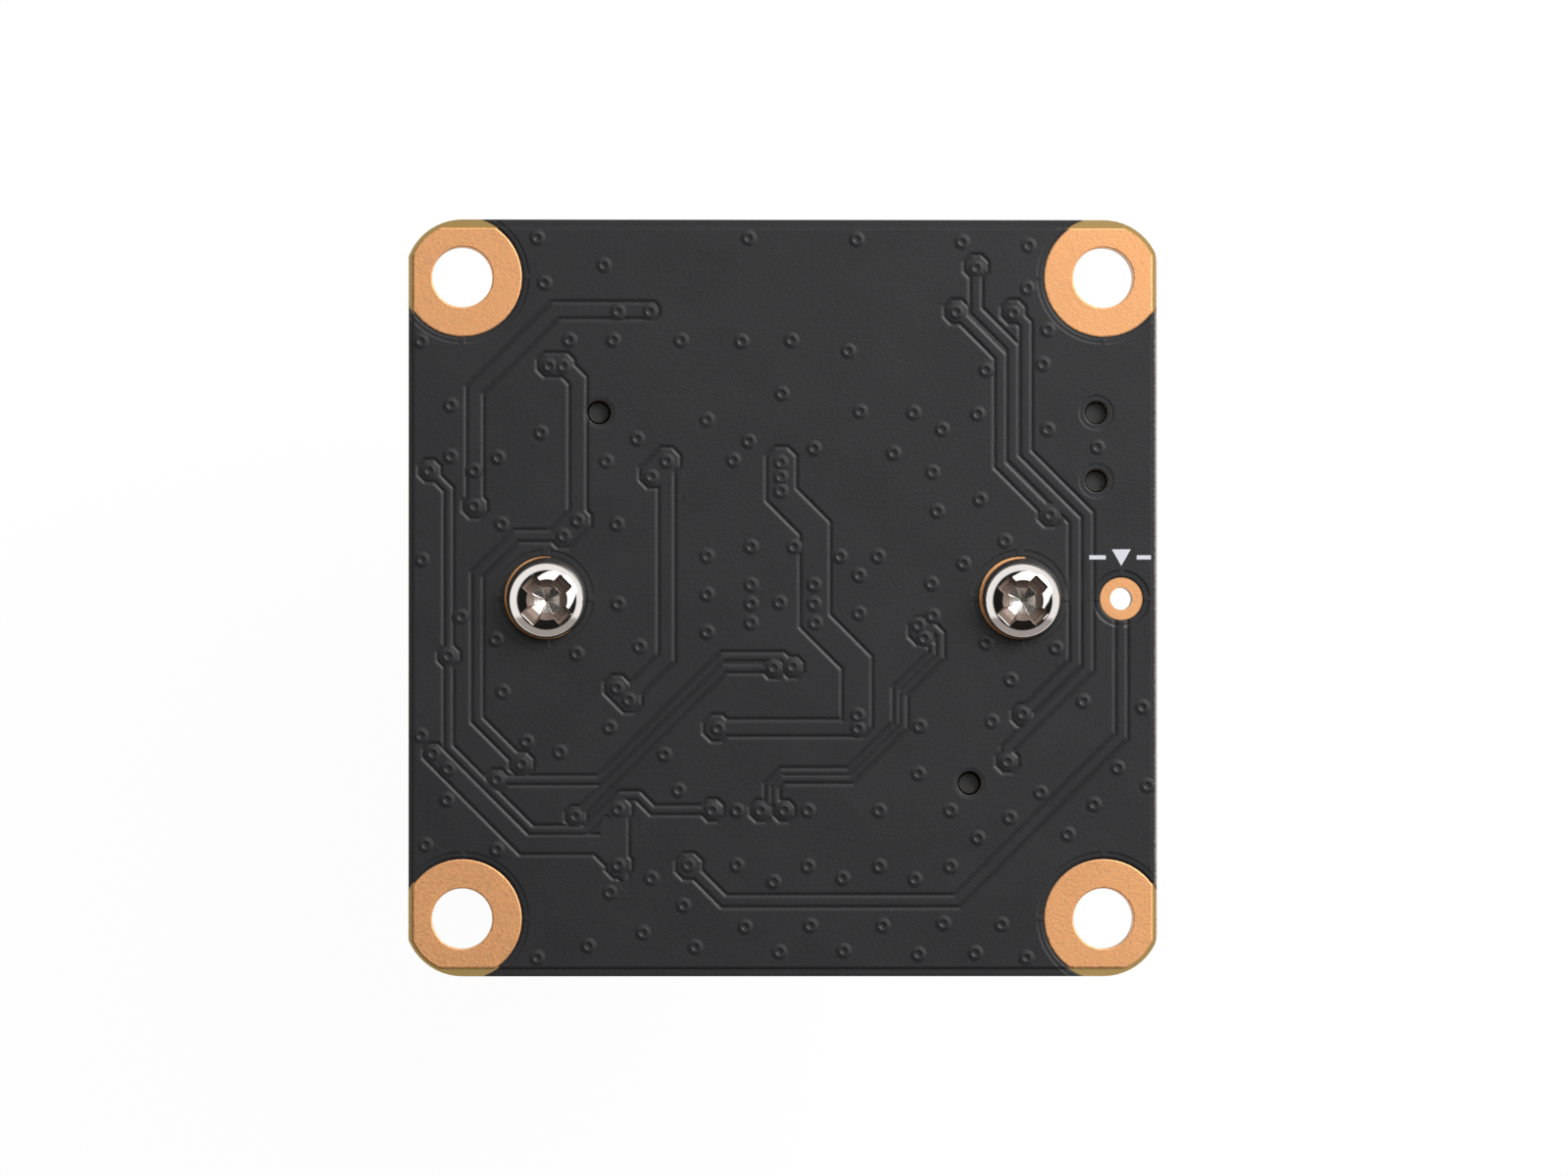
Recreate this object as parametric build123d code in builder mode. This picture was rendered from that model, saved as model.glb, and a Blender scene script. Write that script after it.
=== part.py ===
"""Camera module: a small board with a screw-in lens over a motor-driven filter switch.

All lengths are millimetres. The back face of the board's laminate is z = 0 and looks up (+Z); the
lens hangs below it and points down (-Z). The origin is the middle of the four corner holes, +X
runs along the top edge and +Y goes away from the ribbon connector. Heights below the board are
written as a distance in front of the board's front face.
"""
import os
from math import atan, cos, degrees, radians, sin, tan

from build123d import *

# Board outline and holes
board_width = 31.5
board_thickness = 1.6
corner_hole_setback = 2.25
corner_radius = 2.425
scored_corner_fillet = 1.0
edge_tolerance = 0.01
corner_hole_diameter = 2.55

# Plated lands
land_thickness = 0.05
land_radius = 2.5
copper_side_setback = 0.18
copper_corner_setback = 0.175
screw_pitch = 20.0
screw_hole_diameter = 2.3
screw_land_radius = 1.73
wire_land_place = (14.25, -0.03)
wire_land_radius = 0.89
wire_hole_diameter = 0.95

# Black coat, and the relief that the copper under it gives it
coat_floor = 0.03
copper_rise = 0.04
coat_margin = 0.07
isolation_gap = 0.22
octagon_turn = 22.5
screw_coat_margin = 0.025

# Holder: where it sits on the board, its pins and its screws
axis_x = 0.03
axis_y = -0.12
pin_offset = 7.8
pin_shift = 0.05
pin_diameter = 0.84
pin_hole_diameter = 1.0
pin_recess = 0.35
screw_head_diameter = 3.27
screw_head_height = 1.15
screw_head_crown = 0.4
screw_shank_diameter = 2.0
screw_grip = 3.0
recess_reach = 1.05
recess_width = 0.5
recess_depth = 0.75

# Lower shell of the holder
skirt_side = 17.8
skirt_wall = 1.0
skirt_height = 3.0
floor_thickness = 0.6
boss_side = 4.6

# Filters and the slide that carries them
filter_width = 6.2
filter_length = 7.0
filter_thickness = 0.5
filter_ledge = 0.35
filter_rib = 0.6
shuttle_thickness = 0.95
slide_clearance = 0.15

# Filter motor
rotor_swing = 40.0
magnet_radius = 1.45
magnet_height = 2.15
arm_thickness = 0.5
arm_width = 1.5
arm_peg_radius = 0.35
arm_peg_play = 0.25
shaft_radius = 0.4
pivot_clearance = 0.05
yoke_arm = 0.6
yoke_leg = 0.8
yoke_thickness = 1.0
yoke_gap = 0.5
coil_x = -8.5
coil_length = 3.6
coil_radius = 1.4
bobbin_wall = 0.3
bobbin_flange = 0.35

# Upper shell of the holder
housing_wall = 0.8
housing_depth = 5.4
tube_height = 4.4
tube_wall = 1.7
thread_radius = 6.0
thread_clearance = 0.05
bore_wall = 0.75

# Lens
barrel_bottom = 5.8
lens_head_radius = 7.0
lens_head_length = 6.4
lock_ring_radius = 8.0
lock_ring_height = 1.5
lock_ring_flutes = 8
flute_width = 1.2
flute_depth = 0.35
barrel_bore = 4.0
glass_clearance = 0.05
front_pocket_radius = 4.9
front_pocket_depth = 3.6
mouth_radius = 6.4
mouth_depth = 1.2
rear_lip = 0.8
element_thickness = 1.8
front_edge = 0.9
front_sag = 0.9
crown_share = 0.5

# Image sensor
sensor_width = 6.0
sensor_length = 5.2
sensor_thickness = 0.35
sensor_glass_thickness = 0.4

# Ribbon connector
ribbon_contacts_count = 15
ribbon_pitch = 1.0
ribbon_slot_spare = 2.2
ribbon_width = 20.5
ribbon_back = -10.2
ribbon_depth = 4.1
ribbon_height = 2.55
ribbon_slot_height = 1.4
ribbon_floor = 0.45
ribbon_slot_depth = 3.3
contact_width = 0.25
contact_thickness = 0.2
contact_tail = 0.9
contact_inset = 0.6
contact_recess_height = 0.6
latch_thickness = 1.0
latch_arm = 0.8
latch_clearance = 0.1
latch_tongue_height = 0.55
latch_tongue_gap = 0.6
latch_arm_gap = 0.3
anchor_foot = 0.9
anchor_width = 1.6

# Socket for the filter motor
socket_x = 13.2
socket_y = 6.37
socket_peg_pitch = 2.87
socket_peg_diameter = 0.84
socket_hole_diameter = 0.95
socket_depth = 3.1
socket_width = 5.6
socket_height = 3.1
socket_wall = 0.55
socket_pin_pitch = 1.25
socket_pin_side = 0.4
socket_pin_foot = 0.9
socket_pin_inset = 0.8
socket_pin_clearance = 0.05

# Tracks in the back copper: copper width, then the corners of the route
tracks = [
    (0.50, [(-5.6, 12.1), (-9.6, 12.1), (-12.98, 8.72), (-12.98, 3.85)]),
    (0.80, [(-9.85, 9.8), (-9.3, 9.8)]),
    (0.53, [(-9.3, 9.8), (-8.65, 9.15), (-8.65, 3.3)]),
    (0.90, [(-8.65, 3.25), (-9.25, 2.65)]),
    (0.28, [(-9.25, 2.6), (-11.25, 2.6), (-12.88, 0.97), (-12.88, -5.14), (-11.02, -7.0)]),
    (0.95, [(-4.92, 5.75), (-5.47, 5.2)]),
    (0.48, [(-4.92, 5.4), (-4.92, -2.55), (-6.5, -4.13)]),
    (0.85, [(-7.0, -3.8), (-6.5, -4.3)]),
    (1.06, [(-0.08, 5.72), (-0.08, 4.35), (1.34, 2.93), (1.34, -0.97), (3.1, -2.73), (3.1, -5.2)]),
    (0.50, [(3.1, -5.48), (-2.8, -5.48)]),
    (0.30, [(7.3, 12.05), (9.16, 10.19), (9.16, 5.6), (11.25, 3.51)]),
    (0.30, [(8.13, 13.95), (8.13, 12.1), (9.67, 10.56), (9.67, 5.9), (12.3, 3.27), (12.3, -2.75),
            (10.1, -4.95)]),
    (0.30, [(9.7, 12.05), (10.22, 11.53), (10.22, 6.1), (12.82, 3.5), (12.82, -3.0), (9.44, -6.38),
            (9.44, -6.88)]),
    (0.30, [(14.25, -0.5), (14.25, -5.84), (7.32, -12.77), (-2.5, -12.77), (-3.97, -11.3)]),
    (0.18, [(-14.88, 5.34), (-14.09, 4.55), (-14.09, -6.3), (-10.6, -9.79), (-8.3, -9.79), (-6.85, -8.34),
            (-6.1, -8.34), (-5.5, -8.94), (-2.98, -8.94)]),
    (0.64, [(-14.72, -6.57), (-10.91, -10.38), (-7.8, -10.38), (-6.93, -11.25), (-6.93, -8.93)]),
    (0.18, [(-12.06, -7.68), (-7.75, -7.68), (-2.55, -2.48), (-0.04, -2.48), (0.4, -2.92)]),
    (0.18, [(-8.73, -9.22), (-2.48, -2.97), (-0.41, -2.97)]),
    (0.16, [(5.72, -1.13), (6.2, -1.13), (6.6, -1.53), (6.6, -2.48), (5.05, -4.03), (5.05, -5.45),
            (2.87, -7.63), (-0.02, -7.63), (-0.34, -7.95), (-0.34, -8.6), (0.03, -8.97)]),
    (0.12, [(5.96, -1.68), (6.28, -2.0), (6.28, -2.35), (4.78, -3.85), (4.78, -5.3), (2.75, -7.33),
            (-0.06, -7.33), (-0.62, -7.89), (-0.62, -8.64), (-0.95, -8.97)]),
]

# Round copper pads that some tracks end on: radius, then the centres
track_pads = [
    (0.40, [(-12.98, 3.85), (-11.02, -7.0), (7.3, 12.05), (8.13, 13.95), (9.7, 12.05), (11.25, 3.51)]),
    (0.36, [(10.1, -4.95), (9.44, -6.88), (-14.88, 5.34), (-14.08, -2.47), (-2.98, -8.94)]),
    (0.34, [(0.03, -8.97), (-0.95, -8.97), (0.4, -2.92), (-0.41, -2.95), (-12.06, -7.68), (-8.73, -9.22)]),
    (0.45, [(-2.8, -5.48), (-3.97, -11.3), (-6.93, -8.93), (-6.93, -11.25), (5.84, -1.4)]),
]

# Parts on the front face: where each stands, and its turn in degrees
regulator_places = [(-13.35, 7.3), (-13.35, 3.5)]
driver_place = (13.5, -4.7)
oscillator_place = (13.5, -8.6)
inductor_place = (7.4, 12.6)
capacitor_places = [
    (-13.4, 9.6, 0), (-13.4, 5.4, 0), (-13.4, 1.4, 0), (-13.4, -2.2, 0), (-13.4, -7.0, 0),
    (-13.4, -8.2, 0), (4.2, 10.3, 0), (4.2, 11.6, 0), (9.9, 11.6, 90), (13.5, -2.2, 0), (11.3, -8.6, 90),
]
resistor_places = [
    (-13.4, -0.4, 0), (-4.6, 14.2, 0), (-2.6, 14.2, 0), (-0.6, 14.2, 0), (9.9, 13.4, 90), (13.5, -6.9, 0),
]
small_length = 1.0
small_width = 0.5
small_height = 0.5
small_end = 0.25
chip_length = 2.9
chip_width = 1.6
chip_height = 1.05
chip_span = 2.8
chip_standoff = 0.1
chip_bevel = 0.12
chip_lead_width = 0.4
chip_lead_pitch = 0.95
chip_lead_thickness = 0.15
chip_lead_reach = 0.2
small_body_share = 0.92
block_bevel_share = 0.12
inductor_side = 3.0
inductor_height = 1.5
oscillator_length = 2.5
oscillator_width = 2.0
oscillator_height = 0.8

# Sizes that follow from the ones above
corner_hole_pitch = board_width - 2 * corner_hole_setback
copper_side = board_width - 2 * copper_side_setback
corner_side = corner_hole_pitch + 2 * corner_radius
coat_top = coat_floor + copper_rise
shoulder = isolation_gap / 2
shoulder_angle = degrees(atan(shoulder / copper_rise))
copper_corner_radius = corner_radius - copper_corner_setback
copper_blank = corner_hole_pitch + 2 * copper_corner_radius
floor_top = skirt_height + floor_thickness
housing_top = floor_top + housing_depth
tube_top = housing_top + tube_height
yoke_inner = magnet_radius + yoke_gap
yoke_outer = yoke_inner + yoke_arm
rotor_y = thread_radius + bore_wall + yoke_outer + 2 * slide_clearance
filter_pitch = filter_width + filter_rib
shuttle_length = 2 * filter_width + 3 * filter_rib
shuttle_bottom = floor_top + slide_clearance
shuttle_top = shuttle_bottom + shuttle_thickness
channel_half = filter_pitch / 2 + shuttle_length / 2 + slide_clearance
housing_half = channel_half + housing_wall
arm_reach = filter_pitch / 2 / sin(radians(rotor_swing))
peg_low = rotor_y - arm_reach
peg_high = rotor_y - arm_reach * cos(radians(rotor_swing))
slot_low = peg_low - arm_peg_radius - slide_clearance
slot_high = peg_high + arm_peg_radius + slide_clearance
shuttle_half = filter_length / 2 + filter_rib / 2
tab_top = slot_high + filter_rib
channel_high = tab_top + slide_clearance
channel_low = -shuttle_half - slide_clearance
channel_top = shuttle_top + slide_clearance
arm_bottom = channel_top + pivot_clearance
arm_top = arm_bottom + arm_thickness
magnet_top = arm_top + magnet_height
motor_floor = channel_top + slide_clearance
motor_roof = magnet_top + slide_clearance
yoke_middle = arm_top + magnet_height / 2
motor_right = magnet_radius + 2 * slide_clearance + yoke_arm
motor_left = coil_x - coil_radius - slide_clearance
motor_high = rotor_y + yoke_outer + slide_clearance
motor_low = rotor_y - yoke_outer - slide_clearance
coil_floor = yoke_middle - coil_radius - slide_clearance
coil_roof = yoke_middle + coil_radius + slide_clearance
barrel_radius = thread_radius - thread_clearance
lock_ring_front = tube_top + pivot_clearance + lock_ring_height
head_bottom = lock_ring_front + pivot_clearance
lens_front = head_bottom + lens_head_length
ribbon_front = ribbon_back - ribbon_depth
ribbon_slot_width = (ribbon_contacts_count - 1) * ribbon_pitch + ribbon_slot_spare


def board_plane(height):
    """Plane at a distance in front of the board's front face, centred on the board."""
    return Plane.XY.offset(-board_thickness - height)


def holder_plane(height):
    """Plane at a distance in front of the board's front face, centred on the optical axis."""
    return Plane(origin=(axis_x, axis_y, -board_thickness - height))


# Half section through the optical axis: local x is the radius, local y the distance from the board
section_plane = Plane(origin=(axis_x, axis_y, -board_thickness), x_dir=(1, 0, 0), z_dir=(0, 1, 0))
optical_axis = Axis((axis_x, axis_y, 0), (0, 0, 1))

corner_places = GridLocations(corner_hole_pitch, corner_hole_pitch, 2, 2).locations
screw_places = [(-screw_pitch / 2, 0), (screw_pitch / 2, 0)]
pin_places = [(pin_shift - pin_offset, pin_offset), (pin_shift + pin_offset, -pin_offset)]
peg_places = [
    (socket_x, socket_y - socket_peg_pitch / 2),
    (socket_x, socket_y + socket_peg_pitch / 2),
]

os.makedirs("parts", exist_ok=True)


def save(builder, label):
    """Label a finished piece and write it."""
    builder.part.label = label
    export_step(builder.part, f"parts/{label}.step")


def board_outline():
    """Rounded square blank, cut narrower by the two scored edges, with the right corners eased."""
    with BuildSketch() as outline:
        RectangleRounded(corner_side, corner_side, corner_radius)
        Rectangle(board_width, corner_side, mode=Mode.INTERSECT)
        right_corners = outline.vertices().filter_by_position(
            Axis.X, board_width / 2 - edge_tolerance, board_width / 2 + edge_tolerance
        )
        fillet(right_corners, scored_corner_fillet)
    return outline.sketch


def copper_outline():
    """Limit of the copper, which stops short of the board's edges."""
    with BuildSketch() as outline:
        RectangleRounded(copper_blank, copper_blank, copper_corner_radius)
        Rectangle(copper_side, copper_side, mode=Mode.INTERSECT)
    return outline.sketch


def strip_outline(corners, width):
    """A track of one width along its corners: mitred where it turns, and eight-sided at its ends."""
    points = [Vector(corner) for corner in corners]
    runs = [(end - start).normalized() for start, end in zip(points, points[1:])]
    half = width / 2
    flat = half * tan(radians(octagon_turn))
    left = []
    right = []
    for point, arriving, leaving in zip(points[1:-1], runs, runs[1:]):
        turn = arriving + leaving
        mitre = Vector(-turn.Y, turn.X) * (half / (1 + arriving.dot(leaving)))
        left.append(point + mitre)
        right.append(point - mitre)

    def end_cap(point, outwards):
        across = Vector(-outwards.Y, outwards.X)
        shoulders = ((flat, -half), (half, -flat), (half, flat), (flat, half))
        return [point + outwards * along + across * aside for along, aside in shoulders]

    with BuildSketch() as outline:
        with BuildLine():
            Polyline(
                *right,
                *end_cap(points[-1], runs[-1]),
                *reversed(left),
                *end_cap(points[0], runs[0] * -1),
                close=True,
            )
        make_face()
    return outline.sketch


def pad_outline(place, radius):
    """A copper pad at the end of a track, eight-sided so that its flats run on from the track."""
    with BuildSketch() as outline:
        with Locations(place):
            RegularPolygon(radius, 8, major_radius=False, rotation=octagon_turn)
    return outline.sketch


# Circuit board: laminate with every hole through it
with BuildPart() as circuit_board:
    with BuildSketch(Plane.XY.offset(-board_thickness)):
        add(board_outline())
        with Locations(corner_places):
            Circle(corner_hole_diameter / 2, mode=Mode.SUBTRACT)
        with Locations(screw_places):
            Circle(screw_hole_diameter / 2, mode=Mode.SUBTRACT)
        with Locations(wire_land_place):
            Circle(wire_hole_diameter / 2, mode=Mode.SUBTRACT)
        with Locations(pin_places):
            Circle(pin_hole_diameter / 2, mode=Mode.SUBTRACT)
        with Locations(peg_places):
            Circle(socket_hole_diameter / 2, mode=Mode.SUBTRACT)
    extrude(amount=board_thickness)
save(circuit_board, "circuit_board")


# Corner lands: round, with a through hole, cut off at the copper's limit
with BuildPart() as corner_lands:
    with BuildSketch():
        with Locations(corner_places):
            Circle(land_radius)
        add(copper_outline(), mode=Mode.INTERSECT)
        with Locations(corner_places):
            Circle(corner_hole_diameter / 2, mode=Mode.SUBTRACT)
    extrude(amount=land_thickness)
save(corner_lands, "corner_lands")


def round_lands(label, places, radius, hole_diameter):
    """Flat plated rings round the holes on the board's back."""
    with BuildPart() as lands:
        with BuildSketch():
            with Locations(places):
                Circle(radius)
                Circle(hole_diameter / 2, mode=Mode.SUBTRACT)
        extrude(amount=land_thickness)
    save(lands, label)


round_lands("screw_lands", screw_places, screw_land_radius, screw_hole_diameter)
round_lands("wire_land", [wire_land_place], wire_land_radius, wire_hole_diameter)


# Black coat on the back: a thin floor on the bare laminate, and the raised copper areas on it
def gap_trench(outline):
    """Sloped trench that isolates copper, with the outline at the coat's top."""
    with BuildPart() as trench:
        with BuildSketch(Plane.XY.offset(coat_top)):
            add(outline)
        extrude(amount=copper_rise, taper=shoulder_angle)
        mirror(about=Plane.XY.offset(coat_top), mode=Mode.REPLACE)
    return trench.part


def copper_bank(outline):
    """Sloped bank over copper, with the outline at the coat's floor."""
    with BuildPart() as bank:
        with BuildSketch(Plane.XY.offset(coat_floor)):
            add(outline)
        extrude(amount=copper_rise, taper=shoulder_angle)
    return bank.part


gap_outlines = [strip_outline(corners, width + 2 * isolation_gap) for width, corners in tracks]
bank_outlines = [strip_outline(corners, width + 2 * shoulder) for width, corners in tracks]
for pad_radius, places in track_pads:
    gap_outlines += [pad_outline(place, pad_radius + isolation_gap) for place in places]
    bank_outlines += [pad_outline(place, pad_radius + shoulder) for place in places]
trenches = [gap_trench(outline) for outline in gap_outlines]
banks = [copper_bank(outline) for outline in bank_outlines]

with BuildPart() as solder_mask_back:
    with BuildSketch(Plane.XY.offset(coat_floor)):
        add(copper_outline())
    extrude(amount=copper_rise)
    add(trenches, mode=Mode.SUBTRACT)
    with BuildSketch():
        add(board_outline())
    extrude(amount=coat_floor)
    add(banks)
    with BuildSketch():
        with Locations(corner_places):
            Circle(land_radius + coat_margin)
        with Locations(screw_places):
            Circle(screw_land_radius + screw_coat_margin)
        with Locations(wire_land_place):
            Circle(wire_land_radius + screw_coat_margin)
        with Locations(pin_places):
            Circle(pin_hole_diameter / 2)
        with Locations(peg_places):
            Circle(socket_hole_diameter / 2)
    extrude(amount=coat_top, mode=Mode.SUBTRACT)
save(solder_mask_back, "solder_mask_back")


# Holder screws: domed pan heads with a cross recess, driven from the back into the holder's bosses
holder_screw_places = [(x + axis_x, y + axis_y) for x, y in screw_places]
screw_seat = land_thickness
with BuildPart() as holder_screws:
    with BuildSketch(Plane.XY.offset(screw_seat)):
        with Locations(holder_screw_places):
            Circle(screw_head_diameter / 2)
    extrude(amount=screw_head_height)
    head_rims = holder_screws.faces().sort_by(Axis.Z)[-2:].edges()
    chamfer(head_rims, screw_head_crown)
    with BuildSketch(Plane.XY.offset(screw_seat + screw_head_height)):
        with Locations(holder_screw_places):
            Rectangle(2 * recess_reach, recess_width, rotation=45)
            Rectangle(2 * recess_reach, recess_width, rotation=-45)
    extrude(amount=-recess_depth, mode=Mode.SUBTRACT)
    with BuildSketch(board_plane(screw_grip)):
        with Locations(holder_screw_places):
            Circle(screw_shank_diameter / 2)
    extrude(amount=screw_grip + board_thickness + screw_seat)
save(holder_screws, "holder_screws")


def housing_outline():
    """Plan of both shells: a block across the filters, and the motor's bay above it."""
    with BuildSketch() as outline:
        Rectangle(2 * housing_half, skirt_side)
        bay_right = motor_right + housing_wall
        bay_high = motor_high + housing_wall
        with Locations(((bay_right - housing_half) / 2, bay_high / 2)):
            Rectangle(bay_right + housing_half, bay_high)
        chamfer(outline.vertices(), housing_wall / 2)
    return outline.sketch


# Lower shell: floor plate with the light window, a skirt round the sensor, bosses and pins
with BuildPart() as switch_base:
    with BuildSketch(holder_plane(floor_top)):
        add(housing_outline())
        Rectangle(filter_width - 2 * filter_ledge, filter_length - 2 * filter_ledge, mode=Mode.SUBTRACT)
    extrude(amount=floor_thickness)
    with BuildSketch(holder_plane(skirt_height)):
        Rectangle(skirt_side, skirt_side)
        Rectangle(skirt_side - 2 * skirt_wall, skirt_side - 2 * skirt_wall, mode=Mode.SUBTRACT)
        with Locations(screw_places):
            Rectangle(boss_side, boss_side)
    extrude(amount=skirt_height)
    with BuildSketch(board_plane(0)):
        with Locations(pin_places):
            Circle(pin_diameter / 2)
    extrude(amount=board_thickness - pin_recess)
    with BuildSketch(holder_plane(screw_grip)):
        with Locations(screw_places):
            Circle(screw_shank_diameter / 2)
    extrude(amount=screw_grip, mode=Mode.SUBTRACT)
save(switch_base, "switch_base")


# Upper shell: block over the slide and the motor, with the threaded tube for the lens
with BuildPart() as lens_mount:
    with BuildSketch(holder_plane(housing_top)):
        add(housing_outline())
    extrude(amount=housing_depth)
    outer_rim = lens_mount.faces().sort_by(Axis.Z)[0].edges()
    chamfer(outer_rim, housing_wall / 3)
    with BuildSketch(holder_plane(tube_top)):
        Circle(thread_radius + tube_wall)
    extrude(amount=tube_height)
    with BuildSketch(holder_plane(tube_top)):
        Circle(thread_radius)
    extrude(amount=tube_top - channel_top, mode=Mode.SUBTRACT)
    with BuildSketch(holder_plane(channel_top)):
        with Locations((0, (channel_low + channel_high) / 2)):
            Rectangle(2 * channel_half, channel_high - channel_low)
    extrude(amount=channel_top - floor_top, mode=Mode.SUBTRACT)
    with BuildSketch(holder_plane(arm_top + slide_clearance)):
        arm_low = peg_low - arm_width
        arm_high = rotor_y + magnet_radius + 2 * slide_clearance
        with Locations((0, (arm_low + arm_high) / 2)):
            Rectangle(filter_pitch + 2 * arm_width, arm_high - arm_low)
    extrude(amount=arm_top + slide_clearance - channel_top, mode=Mode.SUBTRACT)
    with BuildSketch(holder_plane(motor_roof)):
        with Locations(((motor_left + motor_right) / 2, (motor_low + motor_high) / 2)):
            Rectangle(motor_right - motor_left, motor_high - motor_low)
        Circle(thread_radius + bore_wall, mode=Mode.SUBTRACT)
    extrude(amount=motor_roof - motor_floor, mode=Mode.SUBTRACT)
    with BuildSketch(holder_plane(coil_roof)):
        coil_right = coil_x + coil_radius + slide_clearance
        with Locations(((motor_left + coil_right) / 2, rotor_y)):
            Rectangle(coil_right - motor_left, 2 * yoke_inner)
    extrude(amount=coil_roof - coil_floor, mode=Mode.SUBTRACT)
    with BuildSketch(holder_plane(motor_roof)):
        with Locations((motor_right + housing_wall / 2, rotor_y + yoke_inner / 2)):
            Rectangle(housing_wall + slide_clearance, housing_wall)
    extrude(amount=housing_wall, mode=Mode.SUBTRACT)
    with BuildSketch(holder_plane(motor_roof + floor_thickness / 2)):
        with Locations((0, rotor_y)):
            Circle(shaft_radius)
    extrude(amount=motor_roof + floor_thickness / 2 - floor_top, mode=Mode.SUBTRACT)
save(lens_mount, "lens_mount")


# Slide with a seat for each filter, and a tab with the slot that the rotor's peg works in
with BuildPart() as filter_shuttle:
    with BuildSketch(holder_plane(shuttle_top)):
        with Locations((filter_pitch / 2, 0)):
            Rectangle(shuttle_length, 2 * shuttle_half)
        with Locations((filter_pitch / 2, tab_top / 2)):
            Rectangle(2 * (arm_peg_radius + arm_peg_play + filter_rib), tab_top)
    extrude(amount=shuttle_thickness)
    with BuildSketch(holder_plane(shuttle_top)):
        with Locations((0, 0), (filter_pitch, 0)):
            Rectangle(filter_width, filter_length)
    extrude(amount=filter_thickness, mode=Mode.SUBTRACT)
    with BuildSketch(holder_plane(shuttle_top)):
        with Locations((0, 0), (filter_pitch, 0)):
            Rectangle(filter_width - 2 * filter_ledge, filter_length - 2 * filter_ledge)
        with Locations((filter_pitch / 2, (slot_low + slot_high) / 2)):
            Rectangle(2 * (arm_peg_radius + arm_peg_play), slot_high - slot_low)
    extrude(amount=shuttle_thickness, mode=Mode.SUBTRACT)
save(filter_shuttle, "filter_shuttle")


def filter_plate(place, label):
    """One flat square of filter glass in its seat."""
    with BuildPart() as plate:
        with BuildSketch(holder_plane(shuttle_top)):
            with Locations((place, 0)):
                Rectangle(filter_width, filter_length)
        extrude(amount=filter_thickness)
    save(plate, label)


filter_plate(0, "infrared_filter")
filter_plate(filter_pitch, "clear_filter")


# Rotor: round magnet, and a moulded arm with a peg, both free to turn on a fixed pin
with BuildPart() as rotor_magnet:
    with BuildSketch(holder_plane(magnet_top)):
        with Locations((0, rotor_y)):
            Circle(magnet_radius)
            Circle(shaft_radius + pivot_clearance, mode=Mode.SUBTRACT)
    extrude(amount=magnet_height)
save(rotor_magnet, "rotor_magnet")

with BuildPart() as rotor_arm:
    with BuildSketch(holder_plane(arm_top)):
        arm_run = Vector(filter_pitch / 2, peg_high - rotor_y)
        with Locations((arm_run.X / 2, rotor_y + arm_run.Y / 2)):
            Rectangle(arm_run.length + arm_width, arm_width, rotation=rotor_swing - 90)
        with Locations((0, rotor_y)):
            Circle(shaft_radius + pivot_clearance, mode=Mode.SUBTRACT)
    extrude(amount=arm_thickness)
    with BuildSketch(holder_plane(arm_bottom)):
        with Locations((filter_pitch / 2, peg_high)):
            RegularPolygon(arm_peg_radius, 8)
    extrude(amount=shuttle_thickness)
save(rotor_arm, "rotor_arm")

with BuildPart() as rotor_shaft:
    with BuildSketch(holder_plane(motor_roof + floor_thickness / 2)):
        with Locations((0, rotor_y)):
            Circle(shaft_radius)
    extrude(amount=motor_roof + floor_thickness / 2 - floor_top)
save(rotor_shaft, "rotor_shaft")


# Motor's fixed side: a flat iron fork whose back leg carries the coil
with BuildPart() as coil_yoke:
    with BuildSketch(holder_plane(yoke_middle + yoke_thickness / 2)):
        yoke_left = coil_x - yoke_leg / 2
        with Locations(((yoke_left + magnet_radius / 2) / 2, rotor_y)):
            Rectangle(magnet_radius / 2 - yoke_left, 2 * yoke_outer)
        with Locations((yoke_left + yoke_leg + thread_radius, rotor_y)):
            Rectangle(2 * thread_radius, 2 * yoke_inner, mode=Mode.SUBTRACT)
    extrude(amount=yoke_thickness)
save(coil_yoke, "coil_yoke")


def coil_plane(along):
    """Plane across the coil, at a distance along it from its middle."""
    return Plane(
        origin=(axis_x + coil_x, axis_y + rotor_y + along, -board_thickness - yoke_middle),
        x_dir=(1, 0, 0),
        z_dir=(0, 1, 0),
    )


bobbin_width = yoke_leg + 2 * bobbin_wall
bobbin_depth = yoke_thickness + 2 * bobbin_wall
coil_side = 2 * coil_radius
with BuildPart() as coil_bobbin:
    for along, length, width, depth in (
        (-coil_length / 2, bobbin_flange, coil_side, coil_side),
        (-coil_length / 2, coil_length, bobbin_width, bobbin_depth),
        (coil_length / 2 - bobbin_flange, bobbin_flange, coil_side, coil_side),
    ):
        with BuildSketch(coil_plane(along)):
            Rectangle(width, depth)
        extrude(amount=length)
    with BuildSketch(coil_plane(-coil_length / 2)):
        Rectangle(yoke_leg, yoke_thickness)
    extrude(amount=coil_length, mode=Mode.SUBTRACT)
save(coil_bobbin, "coil_bobbin")

with BuildPart() as coil_winding:
    with BuildSketch(coil_plane(-coil_length / 2 + bobbin_flange)):
        Rectangle(coil_side - bobbin_wall, coil_side - bobbin_wall)
        Rectangle(bobbin_width, bobbin_depth, mode=Mode.SUBTRACT)
    extrude(amount=coil_length - 2 * bobbin_flange)
save(coil_winding, "coil_winding")


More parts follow.
